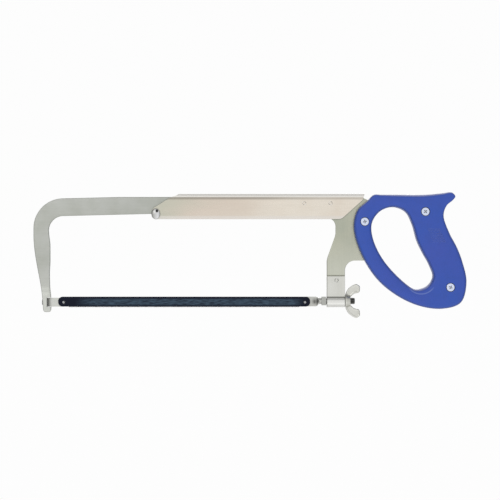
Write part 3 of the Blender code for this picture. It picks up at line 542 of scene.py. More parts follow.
class Look(Nodes):
    """A Principled material on object coordinates."""

    def __init__(self, name):
        self.material = bpy.data.materials.new(name)
        self.material.use_nodes = True
        super().__init__(self.material.node_tree)
        self.shader = self.tree.nodes["Principled BSDF"]
        self.place = self.node("ShaderNodeTexCoord").outputs["Object"]

    def constant(self, **values):
        for key, value in values.items():
            self.shader.inputs[key.replace("_", " ")].default_value = value

    def hollows(self, distance, darkest):
        """About 1 on open faces, down to `darkest` in corners and gaps."""
        made = self.node("ShaderNodeAmbientOcclusion", samples=6)
        made.inputs["Distance"].default_value = distance
        return self.remap(made.outputs["AO"], 0.15, 0.85, darkest, 1.0)

    def rims(self, radius):
        """0 on open faces, up to 1 along outer edges and inner corners."""
        bevel = self.node("ShaderNodeBevel", samples=4)
        bevel.inputs["Radius"].default_value = radius
        dot = self.node("ShaderNodeVectorMath", operation="DOT_PRODUCT")
        self.link(bevel.outputs["Normal"], dot.inputs[0])
        self.link(self.node("ShaderNodeNewGeometry").outputs["Normal"], dot.inputs[1])
        return self.remap(dot.outputs["Value"], 0.995, 0.86, 0.0, 1.0)

    def bumps(self, layers):
        """Stack (height, distance in metres, strength) bumps onto the shader's normal."""
        normal = None
        for height, distance, strength in layers:
            bump = self.node("ShaderNodeBump")
            bump.inputs["Distance"].default_value = distance
            bump.inputs["Strength"].default_value = strength
            self.link(height, bump.inputs["Height"])
            if normal is not None:
                self.link(normal, bump.inputs["Normal"])
            normal = bump.outputs["Normal"]
        self.link(normal, self.shader.inputs["Normal"])

    def colour(self, socket):
        self.link(socket, self.shader.inputs["Base Color"])

    def roughness(self, socket):
        self.link(socket, self.shader.inputs["Roughness"])


def scratches(look, turn, density):
    """Sparse fine lines: stretched noise, cut off to its rarest values."""
    lines = look.cloud((14.0, 1300.0, 1300.0), 2.0, 0.5, turn)
    return look.remap(lines, 0.74 - density, 0.80 - density, 0.0, 1.0)


def plated_metal(name, colour, dull, roughness, grain=(30.0, 2200.0, 2200.0), tint=None):
    """Nickel- or zinc-plated steel with rolling grain, faint scratches and handled patches.

    `dull` is the colour of tired patches, and `tint(look, colour)` may paint over both.
    """
    look = Look(name)
    look.constant(Metallic=1.0)
    rolled = look.cloud(grain, 4.0, 0.6)
    patches = look.cloud((22.0, 22.0, 22.0), 4.0, 0.6)
    speckle = look.cloud((900.0, 900.0, 900.0), 3.0, 0.7)
    fine = scratches(look, (0.0, 0.35, 0.0), 0.0)
    crossing = scratches(look, (0.0, -0.9, 0.3), 0.01)
    marks = look.maths("MAXIMUM", fine, crossing)
    shade = look.mix(look.remap(patches, 0.38, 0.72, 0.0, 1.0), colour, dull)
    if tint:
        shade = tint(look, shade)
    shade = look.mix(look.remap(rolled, 0.3, 0.7, 0.0, 0.10), shade, (0.20, 0.20, 0.19))
    shade = look.mix(look.remap(speckle, 0.62, 0.78, 0.0, 0.10), shade, (0.10, 0.10, 0.09))
    shade = look.mix(look.times(marks, 0.16), shade, (0.95, 0.95, 0.93))
    # Painted shade: darker in corners and gaps.
    shade = look.mix(look.hollows(2.4 * MM, 0.0), (0.06, 0.06, 0.055), shade)
    # Lighter along edges and inner corners: partly edge wear, partly a painted highlight.
    shade = look.mix(look.times(look.rims(0.35 * MM), 0.30), shade, (0.90, 0.89, 0.86))
    look.colour(shade)
    spread = look.maths("ADD", look.remap(rolled, 0.25, 0.75, -0.05, 0.07),
                        look.remap(patches, 0.3, 0.7, -0.04, 0.06))
    spread = look.maths("ADD", spread, look.times(marks, 0.10))
    look.roughness(look.maths("ADD", spread, roughness))
    look.bumps([(rolled, 0.02 * MM, 0.35), (speckle, 0.012 * MM, 0.3), (marks, 0.01 * MM, 0.25)])
    return look.material


def spine_tint(look, shade):
    """Warm middle, greener towards the nose, greyer edges, a painted highlight on the fold's top
    and a painted shade line under it.
    """
    x = look.coordinate("X")
    z = look.coordinate("Z")
    wander = look.cloud((9.0, 9.0, 30.0), 2.0, 0.5)
    along = look.maths("ADD", x, look.remap(wander, 0.3, 0.7, -0.03, 0.03))
    shade = look.fade(shade, (
        (along, -0.185, -0.285, 0.85, (0.66, 0.575, 0.49)),
        (along, -0.285, -0.352, 0.85, (0.53, 0.53, 0.44)),
        (z, 0.0385, 0.0365, 0.6, (0.76, 0.73, 0.70)),
        # Painted highlight: the rounded top of the fold paler.
        (z, 0.0603, 0.0612, 0.9, (0.82, 0.80, 0.76)),
        (z, 0.0622, 0.0632, 0.9, (0.86, 0.84, 0.80)),
    ))
    # Painted shade along the press line under the fold.
    crease = look.times(look.band(z, (0.0570, 0.0594), (0.0602, 0.0620)),
                        look.remap(along, -0.22, -0.15, 0.72, 0.42))
    return look.mix(crease, shade, (0.22, 0.20, 0.17))


def bow_tint(look, shade):
    """Brighter metal towards the foot, from painted light."""
    z = look.coordinate("Z")
    return look.fade(shade, (
        (z, -0.022, -0.052, 0.45, (0.56, 0.57, 0.53)),
        (z, -0.056, -0.066, 0.85, (0.60, 0.61, 0.57)),
    ))


def leg_tint(look, shade):
    """Brighter leg from painted light, painted shade above the strap's upper edge and down the
    front edge.
    """
    z = look.coordinate("Z")
    # Painted light: brighter towards the foot.
    shade = look.fade(shade, ((z, 0.012, -0.030, 0.9, (0.57, 0.58, 0.50)),))
    # Painted shadow along the strap's upper edge.
    line = look.band(z, (-0.0376, -0.0370), (-0.0366, -0.0352), 0.6)
    shade = look.mix(line, shade, (0.14, 0.14, 0.10))
    # Painted shade down the leg's front edge.
    edge = look.times(look.remap(look.coordinate("X"), -0.1358, -0.1366, 0.0, 0.55),
                      look.remap(z, -0.010, -0.018, 0.0, 1.0))
    return look.mix(edge, shade, (0.20, 0.20, 0.17))


def sleeve_tint(look, shade):
    """Painted light on the barrel, painted shade in the crease where the cheeks turn into it and
    on the front edge.
    """
    z = look.coordinate("Z")
    # Painted light: a brighter barrel.
    shade = look.fade(shade, ((z, -0.0640, -0.0655, 0.9, (0.78, 0.78, 0.75)),))
    # Painted shade in the crease where the cheeks turn into the barrel.
    line = look.band(z, (-0.0647, -0.0638), (-0.0630, -0.0621), 0.9)
    shade = look.mix(line, shade, (0.08, 0.08, 0.07))
    # Painted shade along the front edge.
    x = look.coordinate("X")
    return look.fade(shade, ((x, -0.1358, -0.1366, 0.5, (0.20, 0.20, 0.17)),))


def thread_tint(look, shade):
    """Tired block, paler neck from painted light; painted shade in the tab's dimple, on the bolt's
    end and in the thread roots, well inside the crest.
    """
    x = look.coordinate("X")
    tired = look.times(look.remap(x, -0.1380, -0.1372, 0.85, 0.0),
                       look.remap(x, -0.1450, -0.1435, 0.6, 1.0))
    shade = look.mix(tired, shade, (0.40, 0.405, 0.38))
    # Painted shade in the dimple on the tab.
    painted_dimple_shade = look.distance((-151.6 * MM, TAB_FRONT_Y, -68.6 * MM), (1.0, 0.0, 1.0))
    painted_dimple_shade = look.times(look.remap(painted_dimple_shade, 5.0 * MM, 1.2 * MM, 0.0, 0.8),
                       look.remap(x, -0.1476, -0.1466, 1.0, 0.0))
    shade = look.mix(painted_dimple_shade, shade, (0.13, 0.13, 0.12))
    # Painted light: a paler neck slope.
    neck = look.band(x, (-0.1488, -0.1476), (-0.1474, -0.1462), 0.9)
    shade = look.mix(neck, shade, (0.97, 0.97, 0.93))
    # Painted shade in the thread roots and over the bolt's protruding end.
    radius = look.distance((0.0, 0.0, BOLT_Z), (0.0, 1.0, 1.0))
    root = look.remap(radius, BOLT_RADIUS - 0.05 * MM, BOLT_RADIUS - THREAD_DEPTH, 0.0, 1.0)
    painted_thread_shade = look.times(root, look.remap(x, -0.1372, -0.1364, 0.0, 0.92))
    end = look.remap(x, -0.1078, -0.1066, 0.0, 0.80)
    return look.mix(look.maths("MAXIMUM", painted_thread_shade, end), shade, (0.03, 0.03, 0.028))


def rivet_tint(look, shade):
    """Painted shade in the dent of the guide rivet, and on its side towards the nose."""
    x = look.coordinate("X")
    dent = look.distance(GUIDE_DENT, (1.0, 0.0, 0.75))
    return look.fade(shade, (
        # Painted shade on the side towards the nose.
        (x, GUIDE_DENT.x + 1.0 * MM, GUIDE_DENT.x - 5.0 * MM, 0.75, (0.30, 0.30, 0.27)),
        # Painted shade in the dent.
        (dent, 1.9 * MM, 1.1 * MM, 0.95, (0.03, 0.03, 0.03)),
    ))


def tab_tint(look, shade):
    """Painted shade in the slot where the front tab enters the bow."""
    # Painted shade in the slot.
    slot = look.band(look.coordinate("X"), (-0.4865, -0.4855), (-0.4825, -0.4790), 0.85)
    return look.mix(slot, shade, (0.10, 0.10, 0.09))


def blade_lacquer():
    """Blue-black lacquer, rubbed along the middle and worn to steel at the tooth tips."""
    look = Look("blade_blue")
    look.constant(Metallic=0.0, Specular_IOR_Level=0.08)
    x = look.coordinate("X")
    z = look.coordinate("Z")
    patches = look.cloud((30.0, 30.0, 60.0), 4.0, 0.6)
    rub = look.cloud((120.0, 400.0, 900.0), 5.0, 0.7)
    streaks = look.cloud((40.0, 3000.0, 3000.0), 3.0, 0.6)
    middle = look.times(look.band(z, (-0.0742, -0.0720), (-0.0665, -0.0643)),
                        look.band(x, (-0.450, -0.425), (-0.179, -0.165)))
    rubbed = look.times(middle, look.remap(rub, 0.38, 0.62, 0.10, 0.95))
    shade = look.mix(patches, (0.0055, 0.0070, 0.0155), (0.0100, 0.0130, 0.0270))
    shade = look.mix(rubbed, shade, (0.064, 0.106, 0.152))
    shade = look.fade(shade, ((streaks, 0.66, 0.80, 0.35, (0.10, 0.11, 0.13)),))
    worn = look.times(look.remap(z, -0.07555, -0.07595, 0.0, 0.8),
                      look.remap(rub, 0.35, 0.6, 0.3, 1.0))
    shade = look.mix(worn, shade, (0.30, 0.30, 0.31))
    look.colour(shade)
    look.roughness(look.remap(patches, 0.3, 0.7, 0.34, 0.50))
    look.bumps([(streaks, 0.01 * MM, 0.3), (rub, 0.01 * MM, 0.2)])
    return look.material


def moulded_blue():
    """Semi-gloss moulded plastic with a fine spark-eroded grain, handling scratches, painted shade
    and painted highlights.
    """
    look = Look("handle_blue")
    look.constant(Metallic=0.0, Specular_IOR_Level=0.42)
    grain = look.cloud((1500.0, 1500.0, 1500.0), 3.0, 0.6)
    flow = look.cloud((16.0, 16.0, 16.0), 3.0, 0.5)
    mottle = look.cloud((140.0, 140.0, 140.0), 4.0, 0.6)
    handled = scratches(look, (0.0, 0.7, 0.0), 0.005)
    facing = look.node("ShaderNodeSeparateXYZ")
    look.link(look.node("ShaderNodeTexCoord").outputs["Normal"], facing.inputs["Vector"])
    flat = look.maths("ABSOLUTE", facing.outputs["Y"], 0.0)
    shade = look.fade((0.022, 0.082, 0.450), (
        (flow, 0.35, 0.65, 1.0, (0.036, 0.080, 0.440)),
        (mottle, 0.45, 0.75, 0.30, (0.026, 0.070, 0.330)),
        # Painted shade on faces turned away from the front.
        (flat, 0.94, 0.62, 0.75, (0.052, 0.088, 0.290)),
        # Painted highlight on upward faces, such as the top edge.
        (facing.outputs["Z"], 0.45, 0.95, 0.8, (0.46, 0.48, 0.72)),
    ))
    # Painted highlight: a pale arc under the hand opening.
    ring = look.distance((-20.5 * MM, 0.0, -40.5 * MM), (1.0, 0.0, 1.0))
    arc = look.band(ring, (17.6 * MM, 18.4 * MM), (18.8 * MM, 19.6 * MM), 0.5)
    arc = look.times(arc, look.remap(look.coordinate("Z"), -0.050, -0.054, 0.0, 1.0))
    shade = look.mix(arc, shade, (0.22, 0.30, 0.62))
    # Painted shade in corners and gaps.
    shade = look.mix(look.hollows(1.2 * MM, 0.45), (0.010, 0.022, 0.11), shade)
    # Painted highlight along edges and inner corners.
    shade = look.mix(look.times(look.rims(0.6 * MM), 0.30), shade, (0.12, 0.19, 0.60))
    shade = look.mix(look.times(handled, 0.10), shade, (0.25, 0.32, 0.70))
    look.colour(shade)
    spread = look.maths("ADD", look.remap(flow, 0.3, 0.7, -0.03, 0.04),
                        look.remap(mottle, 0.3, 0.7, -0.03, 0.05))
    look.roughness(look.maths("ADD", spread, 0.40))
    look.bumps([(grain, 0.035 * MM, 0.30), (mottle, 0.05 * MM, 0.12), (handled, 0.01 * MM, 0.3)])
    return look.material


LOOKS = {
    "bow_steel": plated_metal("bow_steel", (0.46, 0.47, 0.44), (0.39, 0.405, 0.36), 0.40,
                              tint=bow_tint),
    "spine_nickel": plated_metal("spine_nickel", (0.79, 0.73, 0.64), (0.74, 0.66, 0.565), 0.27,
                                 tint=spine_tint),
    "leg_steel": plated_metal("leg_steel", (0.50, 0.50, 0.40), (0.43, 0.45, 0.37), 0.33,
                              grain=(2200.0, 2200.0, 30.0), tint=leg_tint),
    "rivet": plated_metal("rivet", (0.80, 0.80, 0.82), (0.70, 0.70, 0.70), 0.30, tint=rivet_tint),
    "zinc": plated_metal("zinc", (0.70, 0.70, 0.66), (0.58, 0.58, 0.52), 0.30),
    "sleeve": plated_metal("sleeve", (0.70, 0.70, 0.66), (0.60, 0.60, 0.55), 0.30,
                           grain=(2200.0, 2200.0, 30.0), tint=sleeve_tint),
    "thread": plated_metal("thread", (0.66, 0.66, 0.62), (0.50, 0.50, 0.45), 0.34,
                           tint=thread_tint),
    "tab": plated_metal("tab", (0.60, 0.61, 0.575), (0.52, 0.53, 0.48), 0.32, tint=tab_tint),
    "screw": plated_metal("screw", (0.70, 0.76, 0.93), (0.62, 0.67, 0.80), 0.26),
    "pin": plated_metal("pin", (0.36, 0.37, 0.38), (0.30, 0.31, 0.32), 0.36),
    "bright_steel": plated_metal("bright_steel", (0.80, 0.81, 0.83), (0.70, 0.72, 0.75), 0.20),
    "blade_blue": blade_lacquer(),
    "handle_blue": moulded_blue(),
}


# ---- front bow

def bar_top(x):
    return BAR_TOP[1] + (x - BAR_TOP[0]) * tan(BAR_SLOPE)


def leg_inner(height):
    """X of the leg's inner edge: level stretches joined by smooth steps."""
    edge = BOW_INNER_X
    for (high, before), (low, after) in zip(LEG_WAIST, LEG_WAIST[1:]):
        if height < high:
            edge = before + (after - before) * ease(height, high, low)
    return edge


def bow_stations():
    """(outer x, outer z, inner x, inner z, half thickness) from the tail to the foot."""
    stations = []
    level_top = bar_top(TAIL_TOP_X)
    for x in np.linspace(BAR_TAIL_X, TAIL_TOP_X, 5):
        stations.append((x, level_top, x, bar_top(x) - BAR_HEIGHT, BAR_HALF))
    outer_x = BOW_FRONT_X + BOW_OUTER_RADIUS
    inner_x = BOW_INNER_X + BOW_INNER_RADIUS
    outer_top = bar_top(outer_x)
    inner_top = bar_top(inner_x) - BAR_HEIGHT
    for angle in np.linspace(radians(90.0), radians(180.0), 31):
        stations.append((
            outer_x + BOW_OUTER_RADIUS * cos(angle),
            outer_top - BOW_OUTER_RADIUS + BOW_OUTER_RADIUS * sin(angle),
            inner_x + BOW_INNER_RADIUS * cos(angle),
            inner_top - BOW_INNER_RADIUS + BOW_INNER_RADIUS * sin(angle),
            BAR_HALF,
        ))
    for height in np.linspace(LEG_TAPER_Z[0], BOW_BOTTOM_Z + FOOT_ROUND_Z, 46):
        stations.append((
            BOW_FRONT_X + (LEG_FOOT_X - BOW_FRONT_X) * ease(height, *LEG_TAPER_Z),
            height,
            leg_inner(height),
            height,
            BAR_HALF + (BOSS_HALF - BAR_HALF) * ease(height, *BOSS_SWELL_Z),
        ))
    for angle in np.radians(np.linspace(15.0, 90.0, 6)):
        round_off = 1.0 - cos(angle)
        inset = 2.7 * MM * round_off
        height = BOW_BOTTOM_Z + FOOT_ROUND_Z * (1.0 - sin(angle))
        stations.append((LEG_FOOT_X + inset, height, LEG_INNER_X - inset, height,
                         BOSS_HALF - 1.8 * MM * round_off))
    return stations


def bar_section(station):
    """Rounded rectangle between a station's outer and inner edge points."""
    outer = Vector((station[0], 0.0, station[1]))
    inner = Vector((station[2], 0.0, station[3]))
    half = station[4]
    across = (inner - outer) / 2.0
    middle = (inner + outer) / 2.0
    width = across.length
    across.normalize()
    corner = BAR_EDGE_RADIUS
    section = []
    for sign_u, sign_v, start in ((1.0, 1.0, 0), (-1.0, 1.0, 1), (-1.0, -1.0, 2), (1.0, -1.0, 3)):
        for step in range(5):
            angle = radians(90.0 * start + 22.5 * step)
            u = sign_u * (width - corner) + corner * cos(angle)
            v = sign_v * (half - corner) + corner * sin(angle)
            section.append(middle + across * u + Vector((0.0, v, 0.0)))
    return section


def make_front_bow():
    """Bent bar with setting notches on top and the stud's slot and hole in its foot."""
    bar = skin("front_bow", [bar_section(station) for station in bow_stations()])
    floor_z = bar_top(TAIL_TOP_X) - NOTCH_DEPTH
    mouth_z = bar_top(TAIL_TOP_X) + NOTCH_DEPTH
    tools = []
    for x in (NOTCH_X, NOTCH_X - SETTING_STEP):
        notch = rounded_outline([
            (x - 2.6 * MM, mouth_z, 0.0), (x - 2.6 * MM, floor_z, 0.6 * MM),
            (x + 2.0 * MM, floor_z, 0.6 * MM), (x + 3.6 * MM, mouth_z, 0.0),
        ])
        tools.append(("DIFFERENCE", plate("notch", notch, -CUT_REACH, CUT_REACH)))
    half = 5.8 * MM
    slot = rounded_outline([
        (BOSS_NOTCH_X, PIN_Z - half, 0.5 * MM), (BOSS_NOTCH_X, PIN_Z + half, 0.5 * MM),
        (LEG_INNER_X + CUT_REACH, PIN_Z + half, 0.0), (LEG_INNER_X + CUT_REACH, PIN_Z - half, 0.0),
    ])
    tools.append(("DIFFERENCE", plate("slot", slot, -CUT_REACH, CUT_REACH)))
    half = 2.7 * MM
    hole = block("hole", (LEG_FOOT_X - CUT_REACH, -half, PIN_Z - half),
                 (BOSS_NOTCH_X + 3.0 * MM, half, PIN_Z + half))
    tools.append(("DIFFERENCE", hole))
    show("front_bow", evaluate(bar, tools=tools, bevel=0.22 * MM))


def tab_outline(tip_x, root_x, z, half_height):
    return rounded_outline([
        (tip_x, z - half_height, half_height * 0.9), (tip_x, z + half_height, half_height * 0.9),
        (root_x, z + half_height, 0.0), (root_x, z - half_height, 0.0),
    ])


def drill(centre, radius):
    return ("DIFFERENCE", rod("drill", radius, -CUT_REACH, CUT_REACH, "Y",
                              (centre.x, 0.0, centre.z), steps=48))


def make_front_stud():
    """Blade tab, the key that fills the bow's slot, a square shank and a peened head."""
    into_key = 0.2 * MM
    tab = plate("front_stud", tab_outline(FRONT_PIN.x + TAB_REACH, LEG_INNER_X - into_key, PIN_Z,
                                          5.5 * MM), TAB_FRONT_Y, TAB_BACK_Y)
    key = block("key", (BOSS_NOTCH_X + GAP, 0.4 * MM, PIN_Z - 5.3 * MM),
                (LEG_INNER_X, 4.2 * MM, PIN_Z + 5.3 * MM))
    head_x = LEG_FOOT_X - 0.7 * MM
    half = 2.4 * MM
    shank = block("shank", (head_x - 0.5 * MM, -half, PIN_Z - half),
                  (BOSS_NOTCH_X + 1.0 * MM, half, PIN_Z + half))
    profile = rounded_outline([(0.0, -1.0 * MM, 0.0), (2.0 * MM, -0.95 * MM, 1.4 * MM),
                               (3.6 * MM, -0.4 * MM, 0.6 * MM), (3.5 * MM, 0.0, 0.2 * MM),
                               (0.0, 0.0, 0.0)])
    head = turned("head", profile, "X", (head_x, 0.0, PIN_Z), 48)
    for vert in head.vertices:
        if vert.co.x < head_x - 0.2 * MM:
            blow = noise.noise(vert.co * 900.0) + 0.5 * noise.noise(vert.co * 2100.0)
            vert.co.x += 0.14 * MM * blow
            vert.co.z += 0.16 * MM * blow
    tools = [("UNION", key), ("UNION", shank), ("UNION", head), drill(FRONT_PIN, PIN_RADIUS + GAP)]
    show("front_stud", evaluate(tab, tools=tools, bevel=0.3 * MM), "tab")


def make_blade_pin(node, centre):
    """Rounded pin end that stands through the blade, with a low riveted head behind."""
    low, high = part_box(node)
    head = TAB_BACK_Y + GAP
    profile = rounded_outline([
        (0.0, low[1], 0.0), (PIN_RADIUS, low[1], 0.5 * MM), (PIN_RADIUS, head, 0.0),
        (2.5 * MM, head, 0.15 * MM), (2.4 * MM, high[1], 0.8 * MM), (0.0, high[1], 0.0),
    ])
    show(node, turned(node, profile, "Y", (centre.x, 0.0, centre.z), 48), "pin")


# ---- blade

def make_blade():
    """Toothed strip whose tooth line waves from side to side, with round ends."""
    low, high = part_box("blade")
    top = high[2]
    gullet = low[2] + TOOTH_DEPTH
    set_top = gullet + 1.8 * MM
    teeth = int((high[0] - low[0] - 2.0 * TOOTHLESS_END) / TOOTH_PITCH)
    first_x = (high[0] + low[0] - teeth * TOOTH_PITCH) / 2.0
    half = BLADE_THICKNESS / 2.0
    shape = bmesh.new()

    def lean(x, z):
        """How far the waved tooth line leans out at this point."""
        run = min(ease(x, first_x, first_x + 6.0 * MM),
                  1.0 - ease(x, first_x + teeth * TOOTH_PITCH - 6.0 * MM,
                             first_x + teeth * TOOTH_PITCH))
        wave = sin(2.0 * pi * (x - first_x) / (TOOTH_PITCH * TEETH_PER_WAVE))
        return WAVE_SET * wave * run * (1.0 - ease(z, gullet, set_top))

    faces = {}
    for side in (-1.0, 1.0):
        def vertex(x, z):
            return shape.verts.new((x, side * half + lean(x, z), z))

        columns = []
        for index in range(teeth + 1):
            x = first_x + index * TOOTH_PITCH
            columns.append([vertex(x, z) for z in (top, set_top, gullet)])
        loop_bottom = []
        for index in range(teeth):
            left, right = columns[index], columns[index + 1]
            shape.faces.new((left[0], left[1], right[1], right[0]))
            x = left[2].co.x
            tooth = [
                vertex(x + 0.04 * TOOTH_PITCH, gullet - 0.90 * TOOTH_DEPTH),
                vertex(x + 0.12 * TOOTH_PITCH, gullet - TOOTH_DEPTH),
                vertex(x + 0.50 * TOOTH_PITCH, gullet - 0.58 * TOOTH_DEPTH),
                vertex(x + 0.80 * TOOTH_PITCH, gullet - 0.12 * TOOTH_DEPTH),
            ]
            shape.faces.new((left[1], left[2], *tooth, right[2], right[1]))
            loop_bottom += [left[2], *tooth]
        loop_bottom.append(columns[-1][2])
        radius = BLADE_CORNER_RADIUS
        ends = []
        for column, end_x, direction in ((columns[0], low[0] - 0.4 * MM, 1.0),
                                         (columns[-1], high[0], -1.0)):
            centre_x = end_x + direction * radius
            turn = arc_points((0.0, 0.0), radius, pi / 2.0, pi, 12)
            ring = [vertex(centre_x + direction * p.x, top - radius + p.y) for p in turn]
            ring += [vertex(centre_x + direction * p.x, gullet + radius - p.y)
                     for p in reversed(turn)]
            shape.faces.new([column[0], *ring, column[2], column[1]])
            ends.append(ring)
        upper = [column[0] for column in columns]
        faces[side] = upper + ends[1] + loop_bottom[::-1] + ends[0][::-1]
    near, far = faces[-1.0], faces[1.0]
    for index in range(len(near)):
        after = (index + 1) % len(near)
        shape.faces.new((near[index], near[after], far[after], far[index]))
    mesh = finish_mesh("blade", shape)
    holes = []
    for pin in (FRONT_PIN, REAR_PIN):
        outward = 0.1 * MM if pin is FRONT_PIN else -0.1 * MM
        holes.append(drill(pin + Vector((outward, 0.0, 0.0)), BLADE_HOLE_RADIUS))
    show("blade", evaluate(mesh, tools=holes))


# ---- spine

def make_spine():
    """Sheet folded over its full-round top, with a press line where the fold begins."""
    spare = 4.0 * MM
    centre_half = SPINE_HALF - SHEET / 2.0
    fold_z = SPINE_TOP_Z - SPINE_HALF
    groove = ((2.6, 0.0), (1.4, 0.14), (0.9, 0.30), (0.4, 0.30), (0.0, 0.10))
    right = [Vector((centre_half, SPINE_BOTTOM_Z - spare))]
    right += [Vector((centre_half - deep * MM, fold_z - down * MM)) for down, deep in groove]
    squareness = 0.72
    fold_rise = 0.8 * MM
    fold = []
    for angle in np.radians(np.linspace(5.0, 175.0, 41)):
        across, up = cos(angle), sin(angle)
        fold.append(Vector((copysign(abs(across) ** squareness, across) * centre_half,
                            fold_z + up ** squareness * centre_half + fold_rise * up)))
    left = [Vector((-point.x, point.y)) for point in reversed(right)]
    section = ribbon_outline(right + fold + left, SHEET)
    sheet = plate("frame_channel", section, SPINE_FRONT_X - spare, SPINE_REAR_X + spare, along="X")
    side = rounded_outline([
        (SPINE_FRONT_X, SPINE_BOTTOM_Z, 5.4 * MM),
        (-119.0 * MM, SPINE_BOTTOM_Z, 10.0 * MM),
        (-92.0 * MM, 58.0 * MM, 6.0 * MM),
        (SPINE_REAR_X, SPINE_TOP_Z + spare, 0.0),
        (-320.0 * MM, SPINE_TOP_Z + spare, 0.0),
        (-321.0 * MM, SPINE_TOP_Z, 6.0 * MM),
        (-331.5 * MM, 60.4 * MM, 16.0 * MM),
        (SPINE_FRONT_X, 46.5 * MM, 6.0 * MM),
    ])
    tools = [("INTERSECT", plate("side", side, -CUT_REACH, CUT_REACH)),
             drill(GUIDE_RIVET, 1.9 * MM)]
    for number in (1, 2):
        tools.append(drill(centre_of(f"spine_rivet_{number}"), 2.3 * MM))
    show("frame_channel", evaluate(sheet, tools=tools, bevel=0.18 * MM))


def make_guide_rivet():
    """Rivet whose oval domed heads stand up over the bar, the near one with a dent."""
    face = SPINE_HALF + GAP
    reach = 5.4 * MM
    dome = [(0.0, face + 2.15 * MM)]
    dome += [(reach * cos(t), face + 0.25 * MM + 1.9 * MM * sin(t))
             for t in np.linspace(radians(90.0), 0.0, 15)[1:]]
    half = dome + [(reach, face), (1.6 * MM, face)]
    profile = [(r, -y) for r, y in half] + [(r, y) for r, y in reversed(half)]
    guide = turned("guide_rivet", profile, "Y", (GUIDE_RIVET.x, 0.0, GUIDE_RIVET.z))
    for vert in guide.vertices:
        if abs(vert.co.y) > face - 0.1 * MM:
            vert.co.z = GUIDE_RIVET.z + 1.8 * MM + 1.25 * (vert.co.z - GUIDE_RIVET.z)
    dent = ball("dent", 1.5 * MM, (GUIDE_DENT.x, -face - 1.6 * MM, GUIDE_DENT.z), 15, 32)
    show("guide_rivet", evaluate(guide, tools=[("DIFFERENCE", dent)]), "rivet")


def make_flush_rivets():
    for node in ("spine_rivet_1", "spine_rivet_2", "sleeve_rivet"):
        low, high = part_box(node)
        middle = centre_of(node)
        radius = 2.0 * MM
        profile = rounded_outline([(0.0, low[1], 0.0), (radius, low[1] + 0.05 * MM, 0.3 * MM),
                                   (radius, high[1] - 0.05 * MM, 0.3 * MM), (0.0, high[1], 0.0)])
        show(node, turned(node, profile, "Y", (middle.x, 0.0, middle.z), 48))


# ---- leg plate and sleeve

def leg_outline():
    """Tang in the spine, leg, and a finger that runs back inside the handle."""
    tang_z = 34.9 * MM
    tang_top_z = 60.6 * MM
    bend_x = -126.1 * MM
    heel_z = -17.8 * MM
    finger_z = (53.0 * MM, 58.0 * MM)
    bolt_tab_x = (-22.0 * MM, -9.0 * MM)
    bolt_tab_z = 37.0 * MM
    return rounded_outline([
        (TANG_FRONT_X, tang_z, 3.0 * MM),
        (bend_x, tang_z, 17.0 * MM),
        (bend_x, 14.1 * MM, 20.0 * MM),
        (LEG_FRONT_X, -16.2 * MM, 20.0 * MM),
        (LEG_FRONT_X, LEG_BOTTOM_Z, 0.0),
        (LEG_REAR_X, LEG_BOTTOM_Z, 0.0),
        (LEG_REAR_X, heel_z, 12.5 * MM),
        (-80.0 * MM, heel_z, 4.0 * MM),
        (-84.6 * MM, 6.0 * MM, 12.0 * MM),
        (-84.6 * MM, 40.0 * MM, 8.0 * MM),
        (-66.0 * MM, finger_z[0], 8.0 * MM),
        (bolt_tab_x[0], finger_z[0], 4.0 * MM),
        (bolt_tab_x[0], bolt_tab_z, 5.0 * MM),
        (bolt_tab_x[1], bolt_tab_z, 5.0 * MM),
        (bolt_tab_x[1], finger_z[1], 4.0 * MM),
        (-74.0 * MM, finger_z[1], 6.0 * MM),
        (-83.0 * MM, 56.0 * MM, 5.0 * MM),
        (-93.0 * MM, tang_top_z, 3.0 * MM),
        (TANG_FRONT_X, tang_top_z, 3.0 * MM),
    ])


def make_leg():
    leg = plate("leg_plate", leg_outline(), -BAR_HALF, BAR_HALF, 0.6 * MM, steps=4)
    tools = [drill(centre_of(node), 2.3 * MM)
             for node in ("spine_rivet_1", "spine_rivet_2", "sleeve_rivet")]
    tools += [drill(centre, SCREW_RADIUS + GAP) for centre in HANDLE_BOLTS[:2]]
    show("leg_plate", evaluate(leg, tools=tools))


def make_sleeve():
    """Strap folded round the tension bolt, its cheeks gripping the leg's foot."""
    cheek = BAR_HALF + GAP + SLEEVE_SHEET / 2.0
    radius = BARREL_RADIUS + SLEEVE_SHEET / 2.0
    start = radians(45.0)
    end = start - radians(270.0)
    path = [Vector((cheek, SLEEVE_TOP_Z)), Vector((cheek, SLEEVE_PINCH_Z))]
    path += arc_points((0.0, BARREL_Z), radius, start, end, 54)
    path += [Vector((-cheek, SLEEVE_PINCH_Z)), Vector((-cheek, SLEEVE_TOP_Z))]
    strap = plate("tension_sleeve", ribbon_outline(path, SLEEVE_SHEET), LEG_FRONT_X, LEG_REAR_X,
                  along="X")
    tools = [drill(centre_of("sleeve_rivet"), 2.3 * MM)]
    show("tension_sleeve", evaluate(strap, tools=tools, bevel=0.32 * MM), "sleeve")


# ---- tension bolt and wing nut

def threaded_rod(low, high):
    """Helical thread with a chamfered start, and the flat that keys it in the sleeve."""
    sides = 48
    rows = ceil((high - low) / (THREAD_PITCH / 10.0))
    rings = []
    for row in range(rows + 1):
        x = low + (high - low) * row / rows
        taper = min(1.0, (high - x) / (0.9 * MM))
        ring = []
        for side in range(sides):
            angle = 2.0 * pi * side / sides
            phase = (x / THREAD_PITCH - side / sides) % 1.0
            ridge = min(1.0, max(0.0, 1.25 * (1.0 - 2.0 * abs(phase - 0.5))))
            radius = BOLT_RADIUS - THREAD_DEPTH * (1.0 - ridge)
            radius = min(radius, BOLT_RADIUS - 0.9 * MM * (1.0 - taper))
            y = radius * cos(angle)
            z = BOLT_Z + radius * sin(angle)
            if x < BOLT_FLAT_END_X:
                z = min(z, BOLT_FLAT_Z)
            ring.append((x, y, z))
        rings.append(ring)
    return skin("thread", rings)


